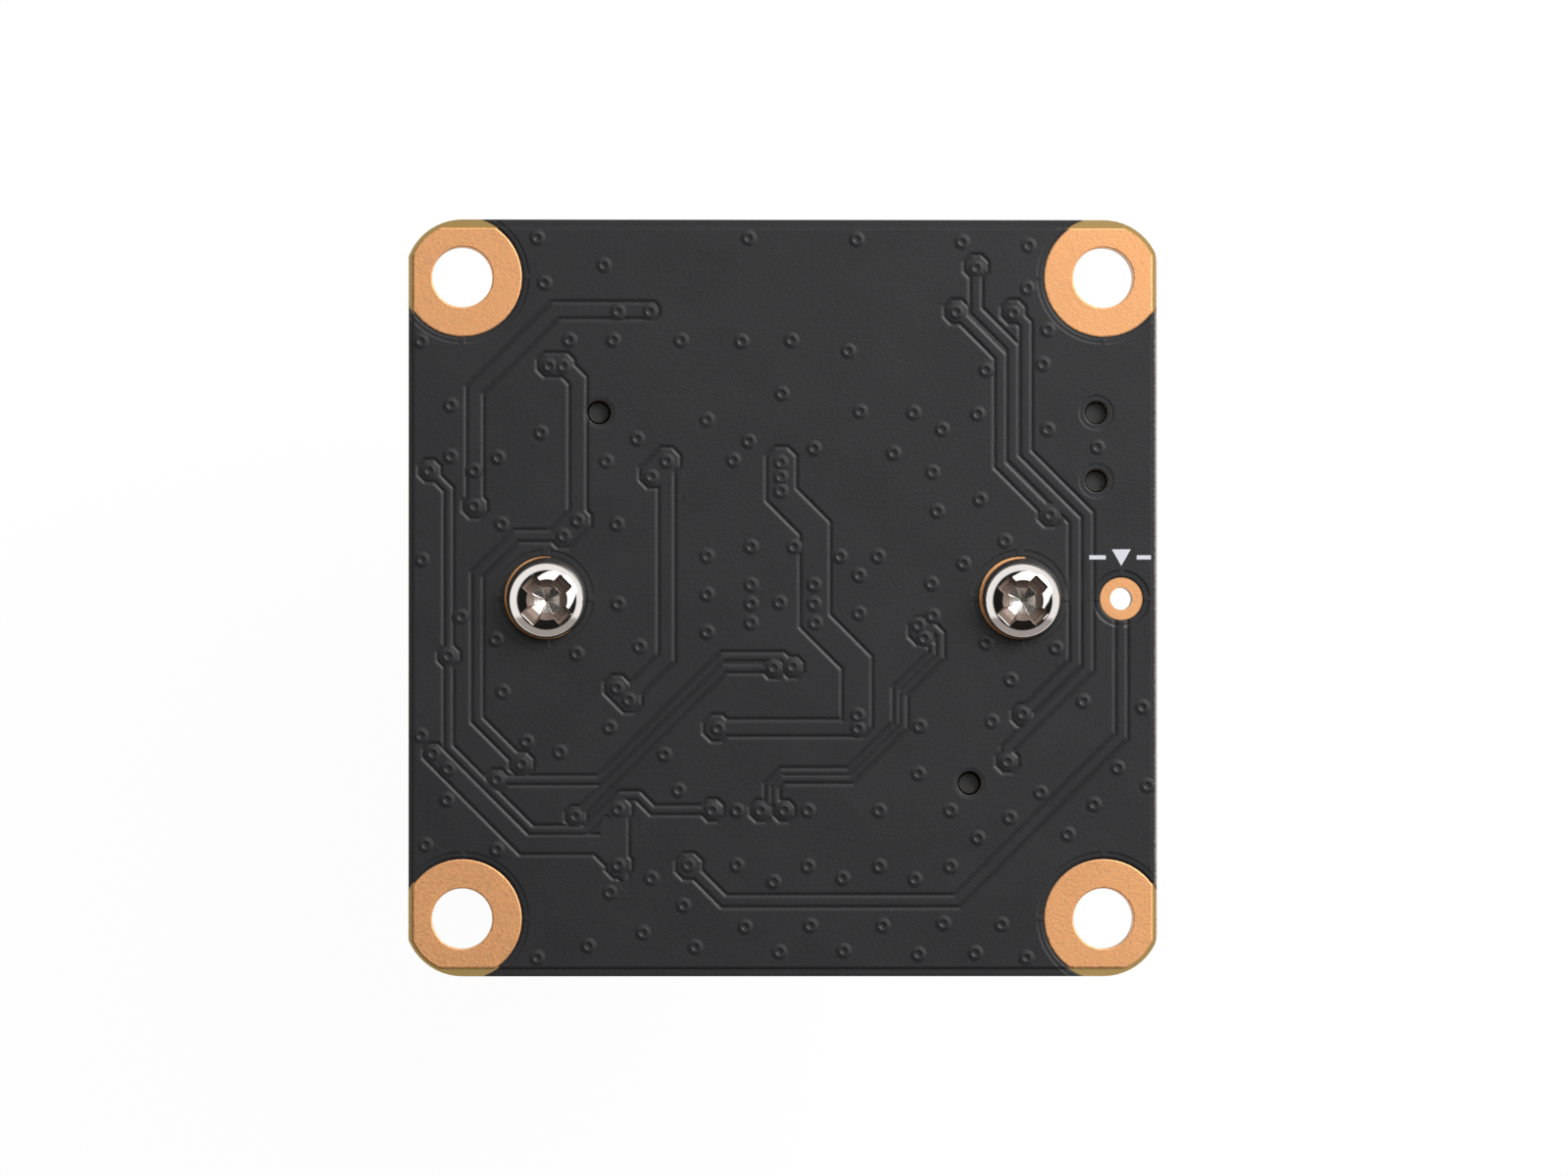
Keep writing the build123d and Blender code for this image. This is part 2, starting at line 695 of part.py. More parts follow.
# Lens barrel: threaded body, wider head with a conical mouth, stepped bore for the glasses
rear_stop = barrel_bottom + rear_lip
pocket_floor = lens_front - front_pocket_depth
with BuildPart() as lens_barrel:
    with BuildSketch(section_plane):
        with BuildLine():
            Polyline(
                (barrel_bore - rear_lip, barrel_bottom),
                (barrel_radius, barrel_bottom),
                (barrel_radius, head_bottom),
                (lens_head_radius, head_bottom),
                (lens_head_radius, lens_front),
                (mouth_radius, lens_front),
                (front_pocket_radius, lens_front - mouth_depth),
                (front_pocket_radius, pocket_floor),
                (barrel_bore, pocket_floor),
                (barrel_bore, rear_stop),
                (barrel_bore - rear_lip, rear_stop),
                close=True,
            )
        make_face()
    revolve(axis=optical_axis)
save(lens_barrel, "lens_barrel")


# Lock ring: threaded on the barrel, with notches for the fingers, seated on the holder's tube
with BuildPart() as lock_ring:
    with BuildSketch(holder_plane(lock_ring_front)):
        Circle(lock_ring_radius)
        Circle(thread_radius, mode=Mode.SUBTRACT)
        with PolarLocations(lock_ring_radius, lock_ring_flutes):
            Rectangle(2 * flute_depth, flute_width, mode=Mode.SUBTRACT)
    extrude(amount=lock_ring_height)
save(lock_ring, "lock_ring")


# Rear glass: a flat disc on the barrel's rear lip
with BuildPart() as rear_element:
    with BuildSketch(holder_plane(rear_stop + element_thickness)):
        Circle(barrel_bore - glass_clearance)
    extrude(amount=element_thickness)
save(rear_element, "rear_element")


# Front glass: its dome is drawn as a cone and a flat
front_glass_radius = front_pocket_radius - glass_clearance
front_rim = pocket_floor + front_edge
with BuildPart() as front_element:
    with BuildSketch(section_plane):
        with BuildLine():
            Polyline(
                (0, front_rim + front_sag),
                (0, pocket_floor),
                (front_glass_radius, pocket_floor),
                (front_glass_radius, front_rim),
                (front_glass_radius * crown_share, front_rim + front_sag),
                close=True,
            )
        make_face()
    revolve(axis=optical_axis)
save(front_element, "front_element")


def chip_block(label, height, thickness):
    """Flat layer of the image sensor, with its front face at a height over the board."""
    with BuildPart() as block:
        with BuildSketch(holder_plane(height)):
            Rectangle(sensor_width, sensor_length)
        extrude(amount=thickness)
    save(block, label)


sensor_glass_top = sensor_thickness + sensor_glass_thickness
chip_block("sensor_chip", sensor_thickness, sensor_thickness)
chip_block("sensor_glass", sensor_glass_top, sensor_glass_thickness)


# Ribbon connector: housing with a slot, side channels for the latch, and a recess for the contacts
contact_places = [
    (index - (ribbon_contacts_count - 1) / 2) * ribbon_pitch for index in range(ribbon_contacts_count)
]
contact_row = (ribbon_contacts_count - 1) * ribbon_pitch + 2 * contact_width
slot_top = ribbon_floor + ribbon_slot_height
back_wall = ribbon_depth - ribbon_slot_depth
slot_middle = ribbon_front + ribbon_slot_depth / 2
ribbon_middle = (ribbon_back + ribbon_front) / 2
arm_channel = latch_arm + pivot_clearance
arm_channel_places = [(side * (ribbon_width - arm_channel) / 2, slot_middle) for side in (-1, 1)]
with BuildPart() as ribbon_housing:
    with BuildSketch(board_plane(ribbon_height)):
        with Locations((0, ribbon_middle)):
            Rectangle(ribbon_width, ribbon_depth)
    extrude(amount=ribbon_height)
    with BuildSketch(board_plane(slot_top)):
        with Locations((0, slot_middle)):
            Rectangle(ribbon_slot_width, ribbon_slot_depth)
        with Locations(arm_channel_places):
            Rectangle(arm_channel, ribbon_slot_depth)
    extrude(amount=ribbon_slot_height, mode=Mode.SUBTRACT)
    recess_top = ribbon_floor + contact_recess_height
    with BuildSketch(board_plane(recess_top)):
        with Locations((0, ribbon_back - back_wall / 2)):
            Rectangle(contact_row, back_wall)
    extrude(amount=recess_top, mode=Mode.SUBTRACT)
save(ribbon_housing, "ribbon_housing")

# Contacts: a soldered tail behind the housing, a riser in the recess and a beam along the slot
tail_end = ribbon_back + contact_tail
riser_back = ribbon_back - back_wall / 4
beam_end = ribbon_front + contact_inset
beam_low = ribbon_floor + pivot_clearance
beam_high = beam_low + contact_thickness
contact_profile = [
    (tail_end, 0),
    (tail_end, contact_thickness),
    (riser_back, contact_thickness),
    (riser_back, beam_high),
    (beam_end, beam_high),
    (beam_end, beam_low),
    (riser_back - contact_thickness, beam_low),
    (riser_back - contact_thickness, 0),
]
with BuildPart() as ribbon_contacts:
    for x in contact_places:
        contact_side = Plane(
            origin=(x - contact_width / 2, 0, -board_thickness), x_dir=(0, 1, 0), z_dir=(1, 0, 0)
        )
        with BuildSketch(contact_side):
            with BuildLine():
                Polyline([(along, -height) for along, height in contact_profile], close=True)
            make_face()
        extrude(amount=contact_width)
save(ribbon_contacts, "ribbon_contacts")

# Latch: a bar in front of the housing, a tongue that presses the ribbon, and two sliding arms
latch_back = ribbon_front - pivot_clearance
latch_middle = latch_back - latch_thickness / 2
tongue_top = slot_top - pivot_clearance
tongue_low = tongue_top - latch_tongue_height
tongue_width = ribbon_slot_width - 2 * latch_clearance
tongue_reach = ribbon_slot_depth - latch_tongue_gap
arm_run_in = ribbon_slot_depth - latch_arm_gap
latch_arm_places = [
    (side * (ribbon_width - latch_arm) / 2, latch_middle + arm_run_in / 2) for side in (-1, 1)
]
with BuildPart() as ribbon_latch:
    with BuildSketch(board_plane(ribbon_height)):
        with Locations((0, latch_middle)):
            Rectangle(ribbon_width, latch_thickness)
    extrude(amount=ribbon_height - latch_clearance)
    with BuildSketch(board_plane(tongue_low)):
        with Locations((0, latch_middle)):
            Rectangle(tongue_width, 2 * latch_thickness)
    extrude(amount=tongue_low, mode=Mode.SUBTRACT)
    with BuildSketch(board_plane(tongue_top)):
        with Locations((0, latch_middle + tongue_reach / 2)):
            Rectangle(tongue_width, latch_thickness + tongue_reach)
    extrude(amount=latch_tongue_height)
    with BuildSketch(board_plane(slot_top - pivot_clearance)):
        with Locations(latch_arm_places):
            Rectangle(latch_arm, latch_thickness + arm_run_in)
    extrude(amount=ribbon_slot_height - 2 * pivot_clearance)
save(ribbon_latch, "ribbon_latch")

# Anchors: two metal tabs that solder the housing's ends to the board
anchor_height = ribbon_floor - latch_clearance
anchor_foot_places = [(side * (ribbon_width + anchor_foot) / 2, ribbon_middle) for side in (-1, 1)]
anchor_wall_places = [(side * (ribbon_width + contact_thickness) / 2, ribbon_middle) for side in (-1, 1)]
with BuildPart() as ribbon_anchors:
    with BuildSketch(board_plane(contact_thickness)):
        with Locations(anchor_foot_places):
            Rectangle(anchor_foot, anchor_width)
    extrude(amount=contact_thickness)
    with BuildSketch(board_plane(anchor_height)):
        with Locations(anchor_wall_places):
            Rectangle(contact_thickness, anchor_width)
    extrude(amount=anchor_height)
save(ribbon_anchors, "ribbon_anchors")


# Socket for the filter motor: a box open to the board's edge, on two pegs
socket_back = socket_x - socket_depth / 2
socket_mouth = socket_x + socket_depth / 2
pin_low = (socket_height - socket_pin_side) / 2
pin_high = (socket_height + socket_pin_side) / 2
socket_pin_rows = [socket_y + side * socket_pin_pitch / 2 for side in (-1, 1)]
with BuildPart() as switch_socket:
    with BuildSketch(board_plane(socket_height)):
        with Locations((socket_x, socket_y)):
            Rectangle(socket_depth, socket_width)
    extrude(amount=socket_height)
    with BuildSketch(board_plane(socket_height - socket_wall)):
        with Locations((socket_x + socket_wall / 2, socket_y)):
            Rectangle(socket_depth - socket_wall, socket_width - 2 * socket_wall)
    extrude(amount=socket_height - 2 * socket_wall, mode=Mode.SUBTRACT)
    with BuildSketch(board_plane(0)):
        with Locations(peg_places):
            Circle(socket_peg_diameter / 2)
    extrude(amount=board_thickness - pin_recess)
    with BuildSketch(board_plane(pin_high)):
        with Locations([(socket_back + socket_wall / 2, row) for row in socket_pin_rows]):
            Rectangle(socket_wall, socket_pin_side)
    extrude(amount=socket_pin_side, mode=Mode.SUBTRACT)
save(switch_socket, "switch_socket")

# Socket pins: square wire through the socket's back wall, bent down to the board
leg_front = socket_back - socket_pin_clearance
leg_back = leg_front - socket_pin_side
foot_end = socket_back - socket_pin_foot
pin_tip = socket_mouth - socket_pin_inset
with BuildPart() as switch_socket_pins:
    for row in socket_pin_rows:
        pin_plane = Plane(
            origin=(0, row + socket_pin_side / 2, -board_thickness), x_dir=(1, 0, 0), z_dir=(0, -1, 0)
        )
        with BuildSketch(pin_plane):
            with BuildLine():
                Polyline(
                    (foot_end, 0),
                    (foot_end, -socket_pin_side / 2),
                    (leg_back, -socket_pin_side / 2),
                    (leg_back, -pin_high),
                    (pin_tip, -pin_high),
                    (pin_tip, -pin_low),
                    (leg_front, -pin_low),
                    (leg_front, 0),
                    close=True,
                )
            make_face()
        extrude(amount=socket_pin_side)
save(switch_socket_pins, "switch_socket_pins")


def small_parts(places, name):
    """Two-ended parts: bodies in one node, their soldered ends in another."""
    body_width = small_width * small_body_share
    body_height = small_height * small_body_share
    body_top = (small_height + body_height) / 2
    with BuildPart() as bodies:
        with BuildSketch(board_plane(body_top)):
            for x, y, turn in places:
                with Locations((x, y)):
                    Rectangle(small_length - 2 * small_end, body_width, rotation=turn)
        extrude(amount=body_height)
    save(bodies, f"{name}_bodies")
    end_reach = (small_length - small_end) / 2
    with BuildPart() as ends:
        with BuildSketch(board_plane(small_height)):
            for x, y, turn in places:
                for side in (-1, 1):
                    shift = Vector(side * end_reach, 0).rotate(Axis.Z, turn)
                    with Locations((x + shift.X, y + shift.Y)):
                        Rectangle(small_end, small_width, rotation=turn)
        extrude(amount=small_height)
    save(ends, f"{name}_ends")


small_parts(capacitor_places, "capacitor")
small_parts(resistor_places, "resistor")


def lead_profile(side):
    """One flat lead seen along the board: out of the chip's side and down to a foot."""
    near = side * chip_width / 2
    knee = near + side * chip_lead_reach
    middle = chip_height / 2
    return [
        (near, -middle),
        (near, -middle - chip_lead_thickness),
        (knee, -middle - chip_lead_thickness),
        (knee + side * chip_lead_thickness, -chip_lead_thickness),
        (side * chip_span / 2, 0),
        (knee, 0),
    ]


def leaded_chips(places, body_label, lead_label):
    """Small moulded chips with three leads along each long side, which face left and right."""
    with BuildPart() as bodies:
        with BuildSketch(board_plane(chip_height)):
            with Locations(places):
                Rectangle(chip_width, chip_length)
        extrude(amount=chip_height - chip_standoff)
        chamfer(bodies.faces().sort_by(Axis.Z)[: len(places)].edges(), chip_bevel)
    save(bodies, body_label)
    with BuildPart() as leads:
        for x, y in places:
            for side in (-1, 1):
                for row in (-1, 0, 1):
                    lead_y = y + row * chip_lead_pitch + chip_lead_width / 2
                    lead_plane = Plane(
                        origin=(x, lead_y, -board_thickness), x_dir=(1, 0, 0), z_dir=(0, -1, 0)
                    )
                    with BuildSketch(lead_plane):
                        with BuildLine():
                            Polyline(lead_profile(side), close=True)
                        make_face()
                    extrude(amount=chip_lead_width)
    save(leads, lead_label)


leaded_chips(regulator_places, "regulator_bodies", "regulator_leads")
leaded_chips([driver_place], "driver_chip", "driver_leads")


def board_block(label, place, length, width, height):
    """Plain block that stands on the board's front."""
    with BuildPart() as block:
        with BuildSketch(board_plane(height)):
            with Locations(place):
                Rectangle(length, width)
        extrude(amount=height)
        chamfer(block.faces().sort_by(Axis.Z)[0].edges(), height * block_bevel_share)
    save(block, label)


board_block("clock_oscillator", oscillator_place, oscillator_length, oscillator_width, oscillator_height)
board_block("power_inductor", inductor_place, inductor_side, inductor_side, inductor_height)
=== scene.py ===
# %% [markdown]
# The back of a small camera board
#
# The picture looks straight down on the back of a camera module: a black coated board with gold
# lands round its corner holes and two bright screws that hold the lens holder on the far side.
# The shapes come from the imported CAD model, which stays as it is. This file gives them their
# finishes, and adds what is too fine for the CAD: the rims of the small plated holes, real screw
# heads, the lens's dome and ridges, and a little film and print.

import bpy
import numpy as np
from mathutils import Matrix, Vector


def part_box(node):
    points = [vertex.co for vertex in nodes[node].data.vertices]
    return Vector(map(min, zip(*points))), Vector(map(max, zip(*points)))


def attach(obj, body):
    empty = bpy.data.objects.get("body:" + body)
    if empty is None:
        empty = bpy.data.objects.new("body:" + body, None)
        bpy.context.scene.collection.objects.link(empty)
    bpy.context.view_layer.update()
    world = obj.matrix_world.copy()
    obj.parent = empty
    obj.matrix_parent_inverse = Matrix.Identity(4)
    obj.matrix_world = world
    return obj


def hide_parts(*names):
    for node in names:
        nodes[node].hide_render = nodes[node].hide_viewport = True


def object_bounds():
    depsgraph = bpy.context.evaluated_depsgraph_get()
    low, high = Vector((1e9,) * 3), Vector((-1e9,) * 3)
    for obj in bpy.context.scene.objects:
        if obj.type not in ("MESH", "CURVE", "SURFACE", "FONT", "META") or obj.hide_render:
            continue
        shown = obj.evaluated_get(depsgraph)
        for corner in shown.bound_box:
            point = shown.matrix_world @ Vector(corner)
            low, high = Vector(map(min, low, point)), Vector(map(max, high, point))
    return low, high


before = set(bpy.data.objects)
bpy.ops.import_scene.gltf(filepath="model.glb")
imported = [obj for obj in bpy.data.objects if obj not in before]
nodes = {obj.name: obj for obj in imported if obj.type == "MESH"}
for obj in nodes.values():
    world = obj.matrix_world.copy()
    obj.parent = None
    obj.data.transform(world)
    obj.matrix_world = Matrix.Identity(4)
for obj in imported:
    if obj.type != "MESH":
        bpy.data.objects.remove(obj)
cad_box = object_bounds()
MM = 0.001
print("CAD nodes:", len(nodes), "box:", [[round(v / MM, 2) for v in corner] for corner in cad_box])

# %% [markdown]
# A product picture like this is taken from far away with a long lens, so the board keeps its
# square shape. The camera stood a little to the left of the board and a little below it: the
# right-hand wall of every corner hole shows as a thin bright arc. The camera therefore aims at
# the middle of the picture, and leans by that small angle about its aim.

# %% Camera
picture_width_px = 1600
picture_height_px = 1200
board_centre_px = (799.1, 610.1)
px_per_mm = 24.24
camera_distance = 0.7
camera_lean = np.radians(2.0)
lean_towards = np.radians(202.0)
sensor_width_mm = 36.0

back_of_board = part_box("solder_mask_back")[1].z
aim_x = (picture_width_px / 2 - board_centre_px[0]) / px_per_mm * MM
aim_y = (board_centre_px[1] - picture_height_px / 2) / px_per_mm * MM
aim = Vector((aim_x, aim_y, back_of_board))
off_axis = np.sin(camera_lean)
level_part = (off_axis * np.cos(lean_towards), off_axis * np.sin(lean_towards))
towards_camera = Vector((*level_part, np.cos(camera_lean)))
camera_data = bpy.data.cameras.new("camera")
camera_data.sensor_width = sensor_width_mm
camera_data.lens = sensor_width_mm * camera_distance / (picture_width_px / px_per_mm * MM)
camera_data.clip_start = 0.01
camera_data.clip_end = 10.0
camera = bpy.data.objects.new("camera", camera_data)
camera.location = aim + towards_camera * camera_distance
sideways = Vector((0, 1, 0)).cross(towards_camera).normalized()
upwards = towards_camera.cross(sideways)
camera.rotation_euler = Matrix((sideways, upwards, towards_camera)).transposed().to_euler()
bpy.context.scene.collection.objects.link(camera)
bpy.context.scene.camera = camera
print("focal length", round(camera_data.lens, 1), "mm, at", [round(v, 3) for v in camera.location])

# %% [markdown]
# Every material here is a small tree of nodes. Building one by hand takes three moves again and
# again: make a node, set its values, and connect its inputs. Two helpers do all three, and they
# work the same way inside a material and inside a node group.


# %% Helpers for node trees
def fill(tree, node, inputs):
    """Give inputs of a node a value each, or connect them to a socket."""
    for key, value in inputs.items():
        socket = node.inputs[key]
        if isinstance(value, bpy.types.NodeSocket):
            tree.links.new(value, socket)
        else:
            socket.default_value = value


def add_node(tree, kind, inputs=None, **settings):
    """Make a node, set its options, and fill its inputs."""
    node = tree.nodes.new(kind)
    for name, value in settings.items():
        setattr(node, name, value)
    fill(tree, node, inputs or {})
    return node


def math(tree, operation, first, second=0.0):
    """One arithmetic node: first and second may be numbers or sockets."""
    return add_node(tree, "ShaderNodeMath", {0: first, 1: second}, operation=operation).outputs[0]


def vector_math(tree, operation, *vectors, output=0):
    """One node of vector arithmetic on one or two vectors or sockets."""
    node = add_node(tree, "ShaderNodeVectorMath", dict(enumerate(vectors)), operation=operation)
    return node.outputs[output]


def components(tree, vector):
    """The x, y and z of a vector, as three sockets."""
    return add_node(tree, "ShaderNodeSeparateXYZ", {0: vector}).outputs


def mix_colours(tree, share, first, second):
    """Blend from the first colour to the second as share goes from 0 to 1."""
    inputs = {"Factor": share, 6: first, 7: second}
    return add_node(tree, "ShaderNodeMix", inputs, data_type="RGBA").outputs[2]


def mix_shaders(tree, share, first, second):
    """Blend from the first shader to the second as share goes from 0 to 1."""
    return add_node(tree, "ShaderNodeMixShader", {0: share, 1: first, 2: second}).outputs[0]


def smooth_step(tree, value, low, high, start=0.0, end=1.0):
    """Go smoothly from start to end while value goes from low to high."""
    ramp = add_node(
        tree,
        "ShaderNodeMapRange",
        {"Value": value, "From Min": low, "From Max": high, "To Min": start, "To Max": end},
        interpolation_type="SMOOTHSTEP",
    )
    return ramp.outputs["Result"]


# %% Helpers for groups, colours and materials
def new_group(name, inputs, outputs):
    """An empty node group with named inputs (name, kind, value) and outputs (name, kind)."""
    tree = bpy.data.node_groups.new(name, "ShaderNodeTree")
    for label, kind, value in inputs:
        socket = tree.interface.new_socket(label, in_out="INPUT", socket_type=kind)
        if value is not None:
            socket.default_value = value
    for label, kind in outputs:
        tree.interface.new_socket(label, in_out="OUTPUT", socket_type=kind)
    return tree, tree.nodes.new("NodeGroupInput").outputs, tree.nodes.new("NodeGroupOutput")


def srgb(red, green, blue):
    """A colour read off a screen, 0 to 255, as the linear colour that shaders work in."""
    screen = np.array([red, green, blue]) / 255
    linear = np.where(screen <= 0.04045, screen / 12.92, ((screen + 0.055) / 1.055) ** 2.4)
    return (*linear.tolist(), 1.0)


def new_material(name):
    """A material with nothing but its Principled shader, and the tree to build on."""
    material = bpy.data.materials.new(name)
    material.use_nodes = True
    tree = material.node_tree
    tree.nodes.clear()
    shader = tree.nodes.new("ShaderNodeBsdfPrincipled")
    output = tree.nodes.new("ShaderNodeOutputMaterial")
    tree.links.new(shader.outputs[0], output.inputs["Surface"])
    return material, tree, shader


def object_coordinates(tree):
    """Place on the object in millimetres: a CAD node's own coordinates, times a thousand."""
    coordinates = add_node(tree, "ShaderNodeTexCoord").outputs["Object"]
    return vector_math(tree, "MULTIPLY", coordinates, (1 / MM,) * 3)


# %% [markdown]
# Three effects come back in many finishes. Moulded, coated and plated surfaces all have a fine
# grain and a slow change of shade. Handling leaves short faint scratches. And round things on the
# board, such as the clearance round a land or the gold inside a hole, are rings about a known
# centre. Each effect is one node group that puts out plain numbers.

# %% Shared effects
blotch_share = 0.04
streak_stretch = (0.6, 14.0, 6.0)
streak_turn = 0.4
ring_softness_mm = 0.02


def make_noise(tree, place, scale, detail):
    """One noise texture, as a number about 0.5."""
    inputs = {"Vector": place, "Scale": scale, "Detail": detail}
    return add_node(tree, "ShaderNodeTexNoise", inputs).outputs["Fac"]


def make_grain():
    """Noise at two sizes: fine grain for the relief, and slow blotches for the shade."""
    tree, given, result = new_group(
        "grain",
        [("Place", "NodeSocketVector", None), ("Fineness", "NodeSocketFloat", 12.0)],
        [("Height", "NodeSocketFloat"), ("Blotches", "NodeSocketFloat")],
    )
    fine = make_noise(tree, given["Place"], given["Fineness"], 3.0)
    slow_scale = math(tree, "MULTIPLY", given["Fineness"], blotch_share)
    slow = make_noise(tree, given["Place"], slow_scale, 2.0)
    fill(tree, result, {"Height": fine, "Blotches": slow})
    return tree


def make_scratches():
    """Thin streaks: noise stretched along one direction, kept only near its crests."""
    tree, given, result = new_group(
        "scratches",
        [("Place", "NodeSocketVector", None), ("Share", "NodeSocketFloat", 0.3)],
        [("Mask", "NodeSocketFloat")],
    )
    turn = {"Vector": given["Place"], "Angle": streak_turn}
    turned = add_node(tree, "ShaderNodeVectorRotate", turn, rotation_type="Z_AXIS").outputs[0]
    streaks = make_noise(tree, vector_math(tree, "MULTIPLY", turned, streak_stretch), 1.0, 5.0)
    edge = math(tree, "SUBTRACT", 0.78, math(tree, "MULTIPLY", given["Share"], 0.2))
    fill(tree, result, {"Mask": smooth_step(tree, streaks, edge, 0.8)})
    return tree


def make_ring():
    """1 between two radii about a centre in the XY plane and 0 elsewhere, with spokes left out."""
    tree, given, result = new_group(
        "ring",
        [
            ("Place", "NodeSocketVector", None),
            ("Centre", "NodeSocketVector", None),
            ("Inner", "NodeSocketFloat", 0.5),
            ("Outer", "NodeSocketFloat", 1.0),
            ("Edge", "NodeSocketFloat", 0.03),
            ("Spoke", "NodeSocketFloat", 0.0),
        ],
        [("Mask", "NodeSocketFloat"), ("Radius", "NodeSocketFloat")],
    )
    soft = ring_softness_mm
    offset = vector_math(tree, "SUBTRACT", given["Place"], given["Centre"])
    flat = vector_math(tree, "MULTIPLY", offset, (1, 1, 0))
    radius = vector_math(tree, "LENGTH", flat, output="Value")
    inside = smooth_step(tree, math(tree, "SUBTRACT", radius, given["Inner"]), -soft, soft)
    to_outer = math(tree, "SUBTRACT", given["Outer"], radius)
    outside = smooth_step(tree, math(tree, "DIVIDE", to_outer, given["Edge"]), -1.0, 1.0)
    x, y = (math(tree, "ABSOLUTE", part) for part in components(tree, flat)[:2])
    nearest = math(tree, "MINIMUM", x, y)
    off_spoke = smooth_step(tree, math(tree, "SUBTRACT", nearest, given["Spoke"]), -soft, soft)
    band = math(tree, "MULTIPLY", math(tree, "MULTIPLY", inside, outside), off_spoke)
    fill(tree, result, {"Mask": band, "Radius": radius})
    return tree


grain_group = make_grain()
scratch_group = make_scratches()
ring_group = make_ring()
print("node groups:", [group.name for group in bpy.data.node_groups])

# %% Helpers that put a finish on a piece
ease_samples = 8
painted = []


def use_group(tree, group, **inputs):
    """Place a node group in a tree and connect or set its inputs."""
    return add_node(tree, "ShaderNodeGroup", inputs, node_tree=group).outputs


def bump(tree, shader, height, distance, ease=0.0):
    """Relief from a height map: distance is how far a height of 1 stands out, in metres.

    With an ease, in metres, the edges of the mesh itself shade as if they were rounded by it.
    """
    node = add_node(tree, "ShaderNodeBump", {"Height": height, "Distance": distance})
    if ease:
        eased = add_node(tree, "ShaderNodeBevel", {"Radius": ease}, samples=ease_samples)
        tree.links.new(eased.outputs["Normal"], node.inputs["Normal"])
    tree.links.new(node.outputs["Normal"], shader.inputs["Normal"])


def paint(node_name, material):
    """Give a CAD node its finish, in every slot that it has."""
    slots = nodes[node_name].material_slots
    for slot in slots:
        slot.material = material
    if not slots:
        nodes[node_name].data.materials.append(material)
    painted.append(node_name)


# %% [markdown]
# The studio is plain: a white card under the board, a pale room, and two soft boxes. The card looks
# white without more light on the board, because to the camera and in reflections it mostly glows
# by itself. From below the camera looks through it, so that the lens side can be seen too.

# %% Floor
floor_height = cad_box[0][2] - 0.0001
floor_half_width = 1.5
card_glow = 1.02
glow_share = 0.95
white = (1, 1, 1, 1)

floor_data = bpy.data.meshes.new("floor")
floor_signs = ((-1, -1), (1, -1), (1, 1), (-1, 1))
floor_corners = [(x * floor_half_width, y * floor_half_width, floor_height) for x, y in floor_signs]
floor_data.from_pydata(floor_corners, [], [(0, 1, 2, 3)])
floor = bpy.data.objects.new("floor", floor_data)
bpy.context.scene.collection.objects.link(floor)


def make_floor_finish():
    """Matt white card that the camera and reflections see almost as pure white, clear from below."""
    material, tree, shader = new_material("white_card")
    fill(tree, shader, {"Base Color": (0.8, 0.8, 0.8, 1), "Roughness": 0.9})
    glow = add_node(tree, "ShaderNodeEmission", {"Color": white, "Strength": card_glow})
    path = add_node(tree, "ShaderNodeLightPath").outputs
    mirrored = math(tree, "MAXIMUM", path["Is Glossy Ray"], path["Is Transmission Ray"])
    seen = math(tree, "MAXIMUM", path["Is Camera Ray"], mirrored)
    card = mix_shaders(tree, math(tree, "MULTIPLY", seen, glow_share), shader.outputs[0], glow.outputs[0])
    underside = add_node(tree, "ShaderNodeNewGeometry").outputs["Backfacing"]
    from_below = math(tree, "MULTIPLY", underside, path["Is Camera Ray"])
    clear = add_node(tree, "ShaderNodeBsdfTransparent").outputs[0]
    shown = mix_shaders(tree, from_below, card, clear)
    tree.links.new(shown, tree.nodes["Material Output"].inputs["Surface"])
    return material


floor_data.materials.append(make_floor_finish())
print("floor at", round(floor_height / MM, 1), "mm")

# %% [markdown]
# Bright metal shows the room that it stands in. All round the horizon the world is pale, and
# overhead it is dark, where a photographer's camera and black cloth would be: that gives the screws
# their black crescents. White panels on stands could do the same, but one ramp over the height of
# the sky is smoother, and takes no objects.

# %% World
pale_until, dark_from = 0.4, 0.62
pale_strength, southern_strength, overhead_strength = 1.1, 0.42, 0.015
southern_tint = (1.0, 0.93, 0.9, 1)
world = bpy.data.worlds.new("studio")
bpy.context.scene.world = world


def make_world():
    """Pale up to some 24 degrees over the horizon, dark above 38, and greyer to the south."""
    world.use_nodes = True
    tree = world.node_tree
    background = tree.nodes["Background"]
    direction = add_node(tree, "ShaderNodeTexCoord").outputs["Generated"]
    _, north, up = components(tree, direction)
    pale = smooth_step(tree, up, pale_until, dark_from, 1.0, 0.0)
    southward = smooth_step(tree, north, -0.6, -0.42, 1.0, 0.0)
    level = smooth_step(tree, southward, 0.0, 1.0, pale_strength, southern_strength)
    strength = math(tree, "ADD", math(tree, "MULTIPLY", pale, level), overhead_strength)
    seen = add_node(tree, "ShaderNodeLightPath").outputs["Is Camera Ray"]
    tint = mix_colours(tree, southward, white, southern_tint)
    colour = mix_colours(tree, seen, tint, white)
    fill(tree, background, {"Color": colour, "Strength": math(tree, "MAXIMUM", strength, seen)})


make_world()
print("world:", len(world.node_tree.nodes), "nodes")

# %% [markdown]
# Two soft boxes light the board from its upper right. The low one draws the relief of the film, and
# because it is near, the right of the board is a little brighter than the left. The large one is
# higher up, and is the white that the screws show.


# %% Soft boxes
def soft_box(name, place, width, power):
    """A square soft box of a width in metres that faces the middle of the board."""
    data = bpy.data.lights.new(name, "AREA")
    data.shape = "SQUARE"
    data.size = width
    data.energy = power
    lamp = bpy.data.objects.new(name, data)
    lamp.location = place
    lamp.rotation_euler = Vector(place).to_track_quat("Z", "Y").to_euler()
    bpy.context.scene.collection.objects.link(lamp)


